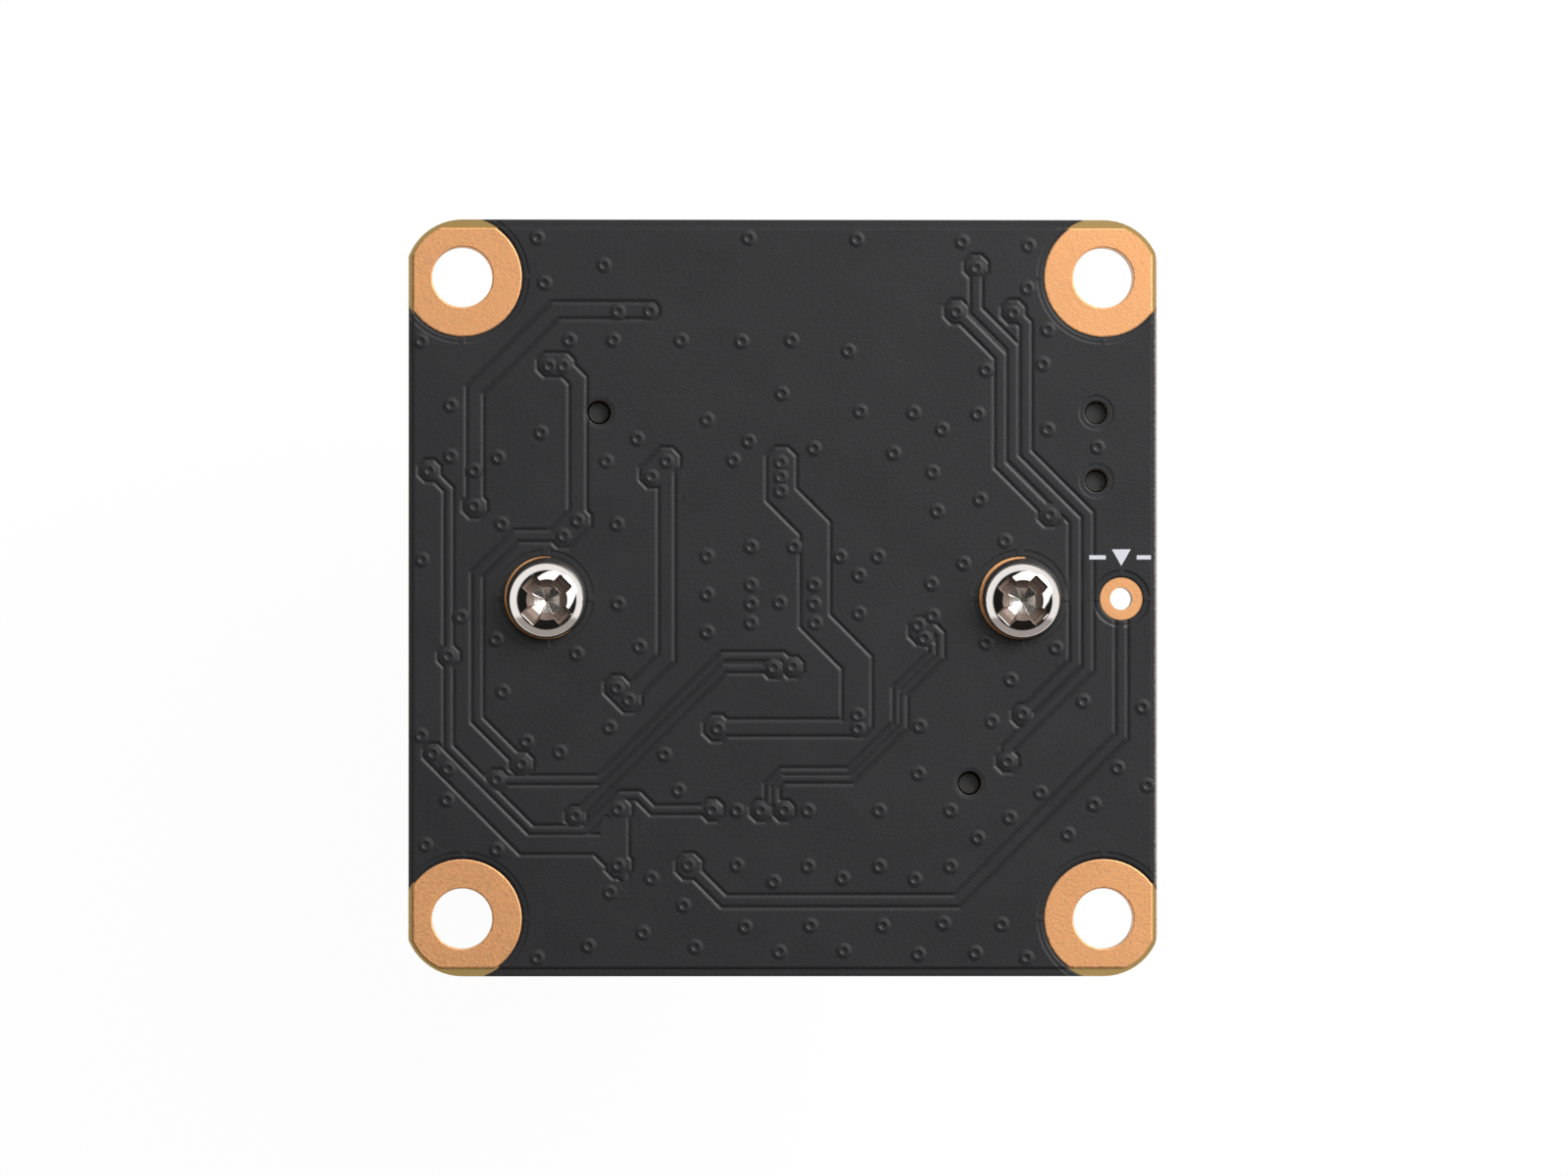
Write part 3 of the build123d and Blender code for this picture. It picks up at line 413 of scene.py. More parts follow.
soft_box("key_lamp", (0.132, 0.092, 0.118), 0.12, 0.37)
soft_box("high_lamp", (0.13, 0.15, 0.3), 0.36, 0.66)

bpy.context.scene.view_settings.view_transform = "Standard"
print("lamps:", [lamp.name for lamp in bpy.data.lights])

# %% [markdown]
# The black coat is a thin film of lacquer over copper and glass fibre. It is nearly black, a
# little glossy, and has a very fine skin like an orange. Round each land the copper stops a
# little way off, so the film dips there in a narrow ring, crossed by four thin bridges. The film is
# thinner than a hair, so these dips are relief in the material and not in the mesh. Its right edge
# was chipped when the board was snapped from its panel, and shows pale fibre.

# %% Black coat
coat_dark = srgb(34, 34, 36)
coat_light = srgb(38, 38, 40)
film_depth_mm = 0.03
film_ease_mm = 0.13
chipped_edge = srgb(150, 138, 128)
chipped_mm = (15.69, 15.74)
corner_hole = (13.5, 13.5, 0.0)
screw_hole = (10.0, 0.0, 0.0)
wire_hole = (14.25, -0.03, 0.0)
pin_holes = ((-7.75, 7.8, 0.0), (7.85, -7.8, 0.0))
peg_holes = ((13.2, 7.8, 0.0), (13.2, 4.935, 0.0))

# Each dip: is it one of a mirrored set, its centre, inner and outer radius, bridge, share of depth
dips = [
    (True, corner_hole, 2.5, 2.8, 0.1, 0.6),
    (True, screw_hole, 1.6, 2.03, 0.14, 1.0),
    (False, wire_hole, 0.8, 1.19, 0.1, 1.0),
]
dips += [(False, hole, 0.3, 0.64, 0.0, 0.35) for hole in pin_holes]
dips += [(False, hole, 0.3, 0.73, 0.0, 0.5) for hole in peg_holes]
dip_edge_mm = 0.06


def dip_relief(tree, place):
    """0 on the flat film, down to -1 in the rings where the copper stops."""
    folded = vector_math(tree, "ABSOLUTE", place)
    depth = 0.0
    for mirrored, centre, inner, outer, bridge, share in dips:
        where = folded if mirrored else place
        sizes = {"Inner": inner, "Outer": outer, "Edge": dip_edge_mm, "Spoke": bridge}
        ring = use_group(tree, ring_group, Place=where, Centre=centre, **sizes)
        depth = math(tree, "MAXIMUM", math(tree, "MULTIPLY", ring["Mask"], share), depth)
    return math(tree, "MULTIPLY", depth, -1.0)


def make_coat(name, ease_mm):
    """Satin black film with the dips as relief, chipped to the fibre along the snapped right edge."""
    material, tree, shader = new_material(name)
    place = object_coordinates(tree)
    grain = use_group(tree, grain_group, Place=place, Fineness=8.0)
    film = mix_colours(tree, grain["Blotches"], coat_dark, coat_light)
    ragged = math(tree, "ADD", components(tree, place)[0], math(tree, "MULTIPLY", grain["Height"], 0.1))
    chipped = smooth_step(tree, ragged, *chipped_mm)
    colour = mix_colours(tree, chipped, film, chipped_edge)
    roughness = smooth_step(tree, grain["Blotches"], 0.3, 0.7, 0.4, 0.46)
    fill(tree, shader, {"Base Color": colour, "Roughness": roughness, "Specular IOR Level": 0.35})
    skin = math(tree, "MULTIPLY", grain["Height"], 0.22)
    relief = math(tree, "ADD", skin, dip_relief(tree, place))
    bump(tree, shader, relief, film_depth_mm * MM, ease=ease_mm * MM)
    return material


black_coat = make_coat("black_coat", film_ease_mm)
thin_coat = make_coat("thin_black_coat", 0.0)
paint("solder_mask_back", black_coat)
print("dips in the film:", len(dips))

# %% [markdown]
# The laminate is glass cloth in resin: an olive yellow where it is bare, which is only in the
# openings round the lands and on the cut edges. Three edges were milled and are smooth. The right
# one was scored and snapped, so torn fibres make it pale and rough. The same solid also shows
# finishes that have no thickness worth modelling: the gold inside the plated holes, the thin film
# that runs down beside the corner lands, and on the lens side that film with its own gold lands.

# %% Laminate with its plated holes and its coated front
bare_laminate = srgb(166, 137, 76)
dark_laminate = srgb(150, 122, 66)
torn_fibre = srgb(196, 170, 140)
hole_gold = srgb(206, 150, 96)
corner_hole_mm = 1.275
corner_land_mm = 2.5
torn_from_mm = (15.6, 15.7)
film_beside_land_mm = {"Inner": 2.45, "Outer": 2.9}
film_stops_mm = (15.5, 15.55)
inside_wall_mm = 0.1
outside_wall_mm = 0.05

# Each plated hole: is it one of a mirrored set, its centre, and the radius of hole and land
plated_holes = [
    (True, corner_hole, corner_hole_mm, corner_land_mm),
    (True, screw_hole, 1.15, 1.73),
    (False, wire_hole, 0.475, 0.89),
]


def make_laminate():
    """Olive laminate on the back and edges, film on the front, and gold in and round the holes."""
    material, tree, shader = new_material("laminate")
    place = object_coordinates(tree)
    folded = vector_math(tree, "ABSOLUTE", place)
    normal = add_node(tree, "ShaderNodeNewGeometry").outputs["True Normal"]
    facing_up = components(tree, normal)[2]
    on_front = smooth_step(tree, facing_up, -0.6, -0.4, 1.0, 0.0)
    flat_face = smooth_step(tree, math(tree, "ABSOLUTE", facing_up), 0.4, 0.6)
    torn_side = smooth_step(tree, components(tree, place)[0], *torn_from_mm)
    farthest = math(tree, "MAXIMUM", *components(tree, folded)[:2])
    inside = smooth_step(tree, farthest, *film_stops_mm, 1.0, 0.0)
    round_land = use_group(tree, ring_group, Place=folded, Centre=corner_hole, **film_beside_land_mm)
    under_film = math(tree, "MULTIPLY", round_land["Mask"], inside)
    grain = use_group(tree, grain_group, Place=place, Fineness=10.0)
    walls = 0.0
    front_lands = 0.0
    for mirrored, centre, hole, land in plated_holes:
        where = folded if mirrored else place
        about = {"Place": where, "Centre": centre, "Inner": hole - inside_wall_mm}
        wall = use_group(tree, ring_group, **about, Outer=hole + outside_wall_mm)
        ring = use_group(tree, ring_group, **about, Outer=land)
        walls = math(tree, "MAXIMUM", wall["Mask"], walls)
        front_lands = math(tree, "MAXIMUM", ring["Mask"], front_lands)
    walls = math(tree, "MULTIPLY", walls, math(tree, "SUBTRACT", 1.0, flat_face))
    front_lands = math(tree, "MULTIPLY", front_lands, on_front)
    gold_share = math(tree, "MAXIMUM", walls, front_lands)
    film_share = math(tree, "SUBTRACT", math(tree, "MAXIMUM", on_front, under_film), front_lands)
    cloth = mix_colours(tree, grain["Blotches"], bare_laminate, dark_laminate)
    sides = mix_colours(tree, math(tree, "MULTIPLY", torn_side, grain["Height"]), cloth, torn_fibre)
    filmed = mix_colours(tree, film_share, sides, coat_dark)
    colour = mix_colours(tree, gold_share, filmed, hole_gold)
    roughness = smooth_step(tree, math(tree, "ADD", gold_share, film_share), 0.0, 1.0, 0.6, 0.4)
    fill(tree, shader, {"Base Color": colour, "Metallic": gold_share, "Roughness": roughness})
    fibres = math(tree, "MULTIPLY", grain["Height"], smooth_step(tree, torn_side, 0.0, 1.0, 0.1, 1.0))
    bump(tree, shader, fibres, 0.03 * MM)
    return material


paint("circuit_board", make_laminate())
print("kinds of plated hole:", len(plated_holes))

# %% [markdown]
# The lands are copper with a thin coat of gold. They are satin, not bright: a fine etched grain
# spreads the reflection, and faint brush marks from the last cleaning cross them. Nickel on the
# screws is the opposite: a mirror, with only a few fine scratches. One function makes both, and
# its values say how fine the grain is and how far it stands out.


# %% Metals
def make_metal(
    name, colour, roughness, fineness, grain_height, scratch_share=0.3, metallic=1.0, edges=None
):
    """A metal: etched or brushed grain in its relief, blotches in its colour, scratches in its gloss."""
    material, tree, shader = new_material(name)
    place = object_coordinates(tree)
    grain = use_group(tree, grain_group, Place=place, Fineness=fineness)
    scratches = use_group(tree, scratch_group, Place=place, Share=scratch_share)
    darker = tuple(v * 0.88 for v in colour[:3]) + (1,)
    shade = mix_colours(tree, grain["Blotches"], darker, colour)
    even = smooth_step(tree, grain["Height"], 0.3, 0.7, roughness * 0.85, roughness * 1.15)
    worn = math(tree, "ADD", even, math(tree, "MULTIPLY", scratches["Mask"], 0.15))
    fill(tree, shader, {"Base Color": shade, "Roughness": worn, "Metallic": metallic})
    relief = math(tree, "SUBTRACT", grain["Height"], scratches["Mask"])
    if edges:
        rounding = math(tree, "MULTIPLY", edges(tree, place), edge_fall_mm / grain_height)
        relief = math(tree, "ADD", relief, rounding)
    bump(tree, shader, relief, grain_height * MM)
    return material


edge_fall_mm = 0.014
edge_reach_mm = 0.06
copper_limit_mm = 15.57


def land_edges(tree, place):
    """1 on a corner land, and down to 0 at its rim, at its hole and at its straight cuts."""
    folded = vector_math(tree, "ABSOLUTE", place)
    radius = use_group(tree, ring_group, Place=folded, Centre=corner_hole)["Radius"]
    rim = smooth_step(tree, radius, corner_land_mm - edge_reach_mm, corner_land_mm, 1.0, 0.0)
    hole = smooth_step(tree, radius, corner_hole_mm, corner_hole_mm + edge_reach_mm)
    farthest = math(tree, "MAXIMUM", *components(tree, folded)[:2])
    cut = smooth_step(tree, farthest, copper_limit_mm - edge_reach_mm, copper_limit_mm, 1.0, 0.0)
    return math(tree, "MINIMUM", math(tree, "MINIMUM", rim, hole), cut)


gold = make_metal("gold_plate", srgb(242, 182, 128), 0.58, 9.0, 0.008, edges=land_edges)
nickel = make_metal("bright_nickel", srgb(228, 223, 218), 0.07, 8.0, 0.0002, 0.1)
stained_nickel = make_metal("stained_nickel", srgb(128, 110, 99), 0.5, 12.0, 0.002, 0.2, metallic=0.3)
worn_nickel = make_metal("worn_nickel", srgb(232, 226, 220), 0.3, 12.0, 0.001, 0.2)
tin = make_metal("matt_tin", srgb(196, 196, 194), 0.38, 12.0, 0.003, 0.2)
ferrite = make_metal("dark_ferrite", srgb(86, 86, 90), 0.5, 9.0, 0.01, 0.3, metallic=0.6)
winding = make_metal("enamelled_copper", srgb(190, 104, 62), 0.32, 9.0, 0.004, 0.2)
for name in ("corner_lands", "screw_lands", "wire_land"):
    paint(name, gold)
for name in ("rotor_shaft", "coil_yoke", "clock_oscillator"):
    paint(name, nickel)
for name in nodes:
    if name.endswith(("contacts", "anchors", "pins", "leads", "ends")):
        paint(name, tin)
for name in ("rotor_magnet", "power_inductor"):
    paint(name, ferrite)
paint("coil_winding", winding)
print("nodes finished so far:", len(painted))

# %% [markdown]
# The far side is mostly moulded plastic. Tools for such small parts are spark-eroded, which
# leaves an even fine grain, and handling leaves faint shiny marks on it. One function makes every
# plastic here, because they differ only in their colour, their gloss and the size of the grain.


# %% Plastics
def make_plastic(name, colour, roughness, fineness=10.0, grain_height=0.01):
    """Moulded plastic: one colour with slow changes, spark-eroded grain, and faint handling marks."""
    material, tree, shader = new_material(name)
    place = object_coordinates(tree)
    grain = use_group(tree, grain_group, Place=place, Fineness=fineness)
    scratches = use_group(tree, scratch_group, Place=place, Share=0.2)
    lighter = tuple(min(1.0, v * 1.2 + 0.003) for v in colour[:3]) + (1,)
    shade = mix_colours(tree, grain["Blotches"], colour, lighter)
    even = smooth_step(tree, grain["Blotches"], 0.2, 0.8, roughness, roughness * 1.15)
    worn = math(tree, "SUBTRACT", even, math(tree, "MULTIPLY", scratches["Mask"], 0.1))
    fill(tree, shader, {"Base Color": shade, "Roughness": worn})
    bump(tree, shader, grain["Height"], grain_height * MM)
    return material


holder_black = make_plastic("holder_plastic", srgb(34, 34, 36), 0.45)
connector_white = make_plastic("connector_plastic", srgb(226, 220, 204), 0.42, 8.0, 0.006)
latch_brown = make_plastic("latch_plastic", srgb(58, 48, 42), 0.4, 8.0, 0.006)
chip_black = make_plastic("chip_plastic", srgb(40, 40, 41), 0.55, 14.0, 0.012)
ceramic = make_plastic("ceramic_body", srgb(186, 160, 128), 0.4, 16.0, 0.006)
for name in ("switch_base", "lens_mount", "filter_shuttle", "coil_bobbin", "switch_socket"):
    paint(name, holder_black)
for name in ("ribbon_housing", "rotor_arm"):
    paint(name, connector_white)
for name in ("regulator_bodies", "resistor_bodies", "driver_chip"):
    paint(name, chip_black)
for name in ("capacitor_bodies", "sensor_chip"):
    paint(name, ceramic)
paint("ribbon_latch", latch_brown)
print("nodes finished so far:", len(painted))

# %% [markdown]
# The lens parts are turned aluminium, anodised black, with a sharper reflection than plastic. The
# barrel carries a fine thread below its head, which the lock ring runs on. The pitch is half a
# millimetre, so at this size relief is enough: a wave along the optical axis, shown only where the
# surface is as far from the axis as the thread.

# %% Turned and anodised parts
optical_centre = (0.03, -0.12, 0.0)
thread_pitch_mm = 0.5
thread_radius_mm = 5.95
thread_reach_mm = (0.05, 0.15)
anodised_dark = srgb(32, 32, 34)
anodised_light = srgb(40, 40, 42)


def thread_relief(tree, place):
    """A wave of one turn a pitch near the thread's radius, and 0 elsewhere."""
    x, y, z = components(tree, vector_math(tree, "SUBTRACT", place, optical_centre))
    radius = use_group(tree, ring_group, Place=place, Centre=optical_centre)["Radius"]
    lead = math(tree, "DIVIDE", math(tree, "ARCTAN2", y, x), 2 * np.pi)
    turns = math(tree, "ADD", math(tree, "DIVIDE", z, thread_pitch_mm), lead)
    from_thread = math(tree, "ABSOLUTE", math(tree, "SUBTRACT", radius, thread_radius_mm))
    near_thread = smooth_step(tree, from_thread, *thread_reach_mm, 1.0, 0.0)
    return math(tree, "MULTIPLY", math(tree, "PINGPONG", turns, 0.5), near_thread)


def make_turned(name, thread):
    """Black anodised metal with fine turning marks, and a thread where it is wanted."""
    material, tree, shader = new_material(name)
    place = object_coordinates(tree)
    grain = use_group(tree, grain_group, Place=place, Fineness=12.0)
    shade = mix_colours(tree, grain["Blotches"], anodised_dark, anodised_light)
    roughness = smooth_step(tree, grain["Height"], 0.3, 0.7, 0.3, 0.38)
    fill(tree, shader, {"Base Color": shade, "Roughness": roughness, "Metallic": 0.4})
    relief = math(tree, "MULTIPLY", grain["Height"], 0.02)
    if thread:
        relief = math(tree, "ADD", relief, thread_relief(tree, place))
    bump(tree, shader, relief, 0.4 * MM)
    return material


turned_black = make_turned("black_anodised_ring", thread=False)
paint("lens_barrel", make_turned("black_anodised", thread=True))
paint("lock_ring", turned_black)
print("turned parts:", painted[-2:])

# %% [markdown]
# Lens glass is coated against reflections, and what is left of them is tinted violet and green.
# The day filter is blue-green glass that holds back infrared light. Both are real transmission,
# with the coating as a tint that grows where the surface turns away, and a breath of dust.


# %% Glass
def make_glass(name, colour, coating):
    """Clear glass with a faint coloured coating and a little dust."""
    material, tree, shader = new_material(name)
    place = object_coordinates(tree)
    grain = use_group(tree, grain_group, Place=place, Fineness=3.0)
    edge = add_node(tree, "ShaderNodeLayerWeight", {"Blend": 0.4}).outputs["Facing"]
    shade = mix_colours(tree, edge, colour, coating)
    roughness = smooth_step(tree, grain["Blotches"], 0.4, 0.7, 0.02, 0.06)
    fill(tree, shader, {"Base Color": shade, "Roughness": roughness})
    fill(tree, shader, {"Transmission Weight": 0.9, "IOR": 1.55})
    bump(tree, shader, grain["Height"], 0.0004 * MM)
    return material


lens_glass = make_glass("lens_glass", (0.86, 0.92, 0.95, 1), (0.5, 0.42, 0.85, 1))
for name in ("front_element", "rear_element", "clear_filter", "sensor_glass"):
    paint(name, lens_glass)
paint("infrared_filter", make_glass("filter_glass", (0.35, 0.75, 0.8, 1), (0.75, 0.35, 0.6, 1)))
print("finished nodes:", len(painted), "left:", [name for name in nodes if name not in painted])

# %% [markdown]
# Small plated holes join the copper on both sides of the board. The film runs over them and sinks
# a little into each, so every one shows as a low round rim with a dark dimple. There are far too
# many to model with care one by one. One profile is turned about an axis once, as arrays, and
# placed at every centre at the same time.

# %% Where the small plated holes are
via_places = np.array(
    [
        # top edge and top left
        (-10.35, 15.15), (-7.55, 14.0), (-10.05, 13.25), (-6.95, 12.05), (-5.6, 12.05), (-9.0, 10.85),
        (-7.15, 10.85), (-15.25, 10.8), (-9.85, 9.75), (-9.25, 9.75), (-14.0, 8.1), (-10.2, 6.95),
        (-6.15, 6.7), (-1.45, 15.15), (3.1, 15.1), (-4.3, 10.85), (-1.75, 10.8), (0.35, 10.85),
        (2.75, 10.4), (-0.05, 8.6), (3.25, 7.85), (-3.2, 7.5), (-1.45, 6.6), (1.3, 6.3),
        # top right
        (7.55, 15.0), (10.35, 14.85), (8.15, 13.9), (10.3, 13.05), (7.3, 12.05), (9.7, 12.0),
        (11.15, 11.3), (10.95, 9.85), (8.55, 9.6), (5.5, 7.8), (6.7, 7.1), (8.2, 7.75),
        (11.15, 7.1), (13.25, 6.35), (4.65, 6.1),
        # left
        (-14.0, 5.95), (-12.0, 5.9), (-13.0, 5.35), (-14.9, 5.35), (-7.45, 5.75), (-5.55, 5.1),
        (-4.9, 5.75), (-13.0, 3.85), (-11.85, 3.1), (-8.65, 3.25), (-9.25, 2.6), (-7.0, 3.1),
        (-15.2, 1.6), (-6.95, -0.25), (-13.55, -0.8), (-12.1, -1.75), (-8.7, -2.35), (-6.05, -2.05),
        (-14.1, -2.45), (-7.0, -3.8), (-6.5, -4.3), (-11.8, -3.95),
        # middle
        (-2.1, 5.8), (-0.1, 5.7), (-0.1, 5.1), (-0.1, 4.5), (-3.2, 1.75), (-1.35, 2.15),
        (0.45, 2.15), (2.4, 1.75), (4.0, 1.75), (3.2, 0.95), (-3.2, 0.15), (-1.35, 0.55),
        (-1.35, -0.25), (-1.35, -1.05), (-0.15, -0.2), (1.3, 0.55), (1.3, -0.25), (1.35, -1.05),
        (3.2, -0.65), (-3.2, -1.45), (-0.4, -2.95), (0.4, -2.9),
        # right
        (6.3, 5.3), (8.3, 4.15), (6.5, 3.65), (11.25, 3.5), (9.35, 2.4), (7.6, 1.45),
        (6.25, 0.6), (6.3, -0.75), (5.7, -1.15), (5.95, -1.7), (8.55, -1.9), (11.5, -2.1),
        (9.6, -3.45), (8.8, -5.2), (10.1, -4.9), (12.65, -4.35), (15.15, -4.6), (9.45, -6.9),
        (14.1, -7.15), (10.85, -8.2), (15.35, -7.9), (13.1, -8.7), (9.55, -9.25), (12.0, -9.95),
        (8.2, -10.1),
        # bottom left
        (-15.25, -5.8), (-14.75, -6.55), (-14.1, -7.2), (-10.8, -6.05), (-9.4, -6.5), (-7.3, -5.45),
        (-11.0, -7.0), (-12.05, -7.65), (-14.15, -8.5), (-8.75, -9.2), (-6.95, -8.9), (-15.05, -10.4),
        (-12.05, -10.6), (-6.95, -11.25), (-7.3, -12.4), (-5.55, -11.8), (-5.9, -14.1), (-8.2, -14.65),
        (-10.35, -15.15), (-2.75, -5.5), (3.15, -4.95), (3.15, -5.5), (-5.0, -6.6), (-4.4, -8.1),
        # bottom
        (-4.2, -12.95), (-3.7, -14.7), (-1.6, -13.85), (-0.15, -14.9), (-0.4, -11.95), (1.15, -13.8),
        (2.5, -11.8), (2.55, -14.85), (4.2, -13.8), (5.75, -5.4), (5.7, -7.4), (5.55, -11.85),
        (6.75, -13.7), (5.7, -15.0), (8.1, -14.95), (9.2, -13.75), (10.25, -15.15), (-4.0, -11.25),
        (-1.95, -11.25), (1.05, -11.3), (4.05, -11.3), (7.05, -11.3),
        # row of the ribbon connector
        (-3.0, -8.95), (-1.95, -8.95), (-0.95, -8.95), (0.05, -8.95), (1.05, -8.95), (4.05, -8.95),
        (7.05, -8.95),
    ]
)
print("small plated holes:", len(via_places))

# %% [markdown]
# The profile of one rim, from its middle outwards: the flat floor of the dimple, the steep inner
# side, the crest, and the long outer slope down to the film. The floor is painted near black. That
# is painted shade, since next to no light comes back out of so small a hollow.

# %% Rims of the small plated holes
film_top_mm = 0.07

# Radius and height over the film, from the middle outwards
rim_profile = np.array(
    [
        (0.085, 0.002), (0.12, 0.012), (0.15, 0.03), (0.18, 0.034), (0.215, 0.03), (0.285, 0.014),
        (0.345, 0.003), (0.38, -0.002),
    ]
)
rim_steps = 20


def shade_smooth(mesh, angle=30.0):
    """Smooth shading, but sharp where two faces meet at more than an angle in degrees."""
    mesh.shade_smooth()
    mesh.set_sharp_from_angle(angle=np.radians(angle))


def add_piece(name, points, faces, body, materials, face_materials=None):
    """A mesh piece in metres from points in millimetres, on its body and in its material slot."""
    mesh = bpy.data.meshes.new(name)
    mesh.from_pydata((np.asarray(points) * MM).tolist(), [], faces)
    for material in materials:
        mesh.materials.append(material)
    if face_materials is not None:
        mesh.polygons.foreach_set("material_index", face_materials)
    mesh.update()
    piece = bpy.data.objects.new(name, mesh)
    bpy.context.scene.collection.objects.link(piece)
    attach(piece, body)
    return piece


def ring_quads(rings, count):
    """Faces between rings of points: point j of ring i, the same one ring out, and both next ones."""
    ring, step = np.meshgrid(np.arange(rings - 1), np.arange(count), indexing="ij")
    after = (step + 1) % count
    here = ring * count
    beyond = here + count
    corners = [here + step, beyond + step, beyond + after, here + after]
    return np.stack(corners, axis=-1).reshape(-1, 4)


def turned_rims(places, profile, steps):
    """Turn the profile about each place: x = X + r cos t, y = Y + r sin t, z = film top + h."""
    turn = np.linspace(0, 2 * np.pi, steps, endpoint=False)
    radius, height = profile.T[:, None, :, None]
    centre_x, centre_y = places.T[:, :, None, None]
    x = centre_x + radius * np.cos(turn)
    y = centre_y + radius * np.sin(turn)
    z = np.broadcast_to(film_top_mm + height, x.shape)
    points = np.stack([x, y, z], axis=-1).reshape(-1, 3)
    shift = np.arange(len(places))[:, None, None] * len(profile) * steps
    walls = (ring_quads(len(profile), steps)[None] + shift).reshape(-1, 4).tolist()
    floors = (np.arange(steps)[None] + shift[:, 0]).tolist()
    return points, walls + floors, [0] * len(walls) + [1] * len(floors)


# Painted shade: the dimple floors get a near-black finish that stands in for the shade in each hollow.
painted_dimple_shade = make_plastic("painted_dimple_shade", srgb(17, 17, 18), 0.5, 14.0, 0.004)
rim_points, rim_faces, rim_finish = turned_rims(via_places, rim_profile, rim_steps)
via_rims = add_piece(
    "via_rims",
    rim_points,
    rim_faces,
    "board_and_holder",
    [thin_coat, painted_dimple_shade],
    rim_finish,
)
shade_smooth(via_rims.data, 50.0)
print("rims:", len(via_rims.data.polygons), "faces")

# %% [markdown]
# The two screws are the brightest things in the picture. Each has a low domed head and a cross
# recess: four arms with square ends, round a small pit. A Boolean could cut the recess, but it
# leaves uneven faces, and those show at once on bright metal. Here the whole screw is one stack
# of rings with the same number of points. Low down in the recess every ring has the outline of a
# cross, further out it is a circle, and between the two it is a blend of both.

# %% Rings for the screws
def cross_ring(reach, half_width, core, steps=10):
    """Outline of a cross: square arm ends at a reach, and arcs of a core circle between the arms.

    One quarter runs over an arm's end, in along the arm's side, round the core's arc, and out
    along the next arm. Turned by 45, 135, 225 and 315 degrees it gives the whole outline.
    """
    share = np.linspace(0, 1, steps, endpoint=False)
    root = np.sqrt(core**2 - half_width**2)
    opening = np.arcsin(half_width / core)
    angle = opening + (np.pi / 2 - 2 * opening) * share
    end = np.full(steps, reach)
    side = np.full(steps, half_width)
    inwards = reach + (root - reach) * share
    outwards = root + (reach - root) * share
    along = np.concatenate([end, inwards, core * np.cos(angle), side])
    across = np.concatenate([half_width * (2 * share - 1), side, core * np.sin(angle), outwards])
    turn = (np.pi / 4 + np.arange(4) * np.pi / 2)[:, None]
    x = along * np.cos(turn) - across * np.sin(turn)
    y = along * np.sin(turn) + across * np.cos(turn)
    return np.stack([x.ravel(), y.ravel()], axis=-1)


def round_ring(like, radius):
    """The circle of a radius, with its points at the same angles as those of another ring."""
    return like * (radius / np.linalg.norm(like, axis=1, keepdims=True))


def at_height(ring, height):
    """A ring of (x, y) points at one height, or at one height per point."""
    return np.column_stack([ring, np.broadcast_to(height, len(ring))])


def closed_stack(rings, first_tip, last_tip):
    """A closed skin over a stack of rings, with a fan of triangles at its first and last tip."""
    count = rings.shape[1]
    total = len(rings) * count
    step = np.arange(count)
    after = (step + 1) % count
    first = np.column_stack([np.full(count, total), step, after])
    last = np.column_stack([np.full(count, total + 1), total - count + after, total - count + step])
    points = np.concatenate([rings.reshape(-1, 3), [first_tip, last_tip]])
    return points, ring_quads(len(rings), count).tolist() + first.tolist() + last.tolist()


mouth = cross_ring(1.18, 0.37, 0.87)
print("points in a ring of the screw:", len(mouth))

# %% [markdown]
# Sizes of the screw come from the picture: the head is about 3.2 mm across where the crown ends
# and 3.4 mm at its seat, the arms of the cross reach 1.18 mm, and the pit is half as wide. The pale
# rim of the head shows that the crown is nearly flat round the recess and then slopes off at about
# 40 degrees, so that it mirrors the pale horizon. The arms have a small step near their ends. They
# are stained brown, and the pit is bright. The head sits a little askew: its seat is centred in the
# hole, and its crown is not.

# %% The screw as a stack of rings
# Levels of the recess from the pit upwards: height, reach, half width of an arm, core radius
recess_levels = (
    (-0.78, 0.1, 0.035, 0.075),
    (-0.6, 0.61, 0.21, 0.51),
    (-0.55, 0.65, 0.23, 0.55),
    (-0.47, 0.9, 0.3, 0.72),
    (-0.36, 0.97, 0.335, 0.79),
    (-0.35, 1.09, 0.355, 0.83),
    (-0.22, 1.135, 0.357, 0.845),
)
pit_levels = 3
eased_edge = (1.142, 0.36, 0.852)
eased_edge_drop_mm = 0.022
crown_radius_mm = 1.21

# The slope outside the crown, the flank, the seat and the shank: radius, height
flank = (
    (1.25, -0.168), (1.32, -0.212), (1.4, -0.272), (1.48, -0.34), (1.545, -0.404), (1.585, -0.456),
    (1.607, -0.51), (1.62, -0.57), (1.65, -0.7), (1.68, -0.88), (1.7, -1.02), (1.69, -1.1), (1.63, -1.15),
    (1.0, -1.15), (1.0, -5.8),
)
seat_shift_mm = np.array([0.01, 0.1])
seat_shift_starts_mm = 1.6
seat_shift_takes_mm = 0.1


def crown_height(ring):
    """Height of the crown at each point: a flat dome, 0.05 r^2 + 0.035 r^4 below its top."""
    radius = np.linalg.norm(ring, axis=1)
    return -0.05 * radius**2 - 0.035 * radius**4


def screw_rings():
    """All rings of one screw: the recess, its eased edge, the blend to the crown, and the flank."""
    rings = [at_height(cross_ring(*sizes), height) for height, *sizes in recess_levels]
    eased = cross_ring(*eased_edge)
    rings.append(at_height(eased, crown_height(eased) - eased_edge_drop_mm))
    rim = round_ring(mouth, crown_radius_mm)
    for share in (0.0, 0.3, 0.65, 1.0):
        blend = mouth + (rim - mouth) * share
        rings.append(at_height(blend, crown_height(blend)))
    for radius, height in flank:
        share = np.clip((radius - seat_shift_starts_mm) / seat_shift_takes_mm, 0, 1)
        lean = share * seat_shift_mm
        rings.append(at_height(round_ring(mouth, radius) + lean, height))
    return np.array(rings)


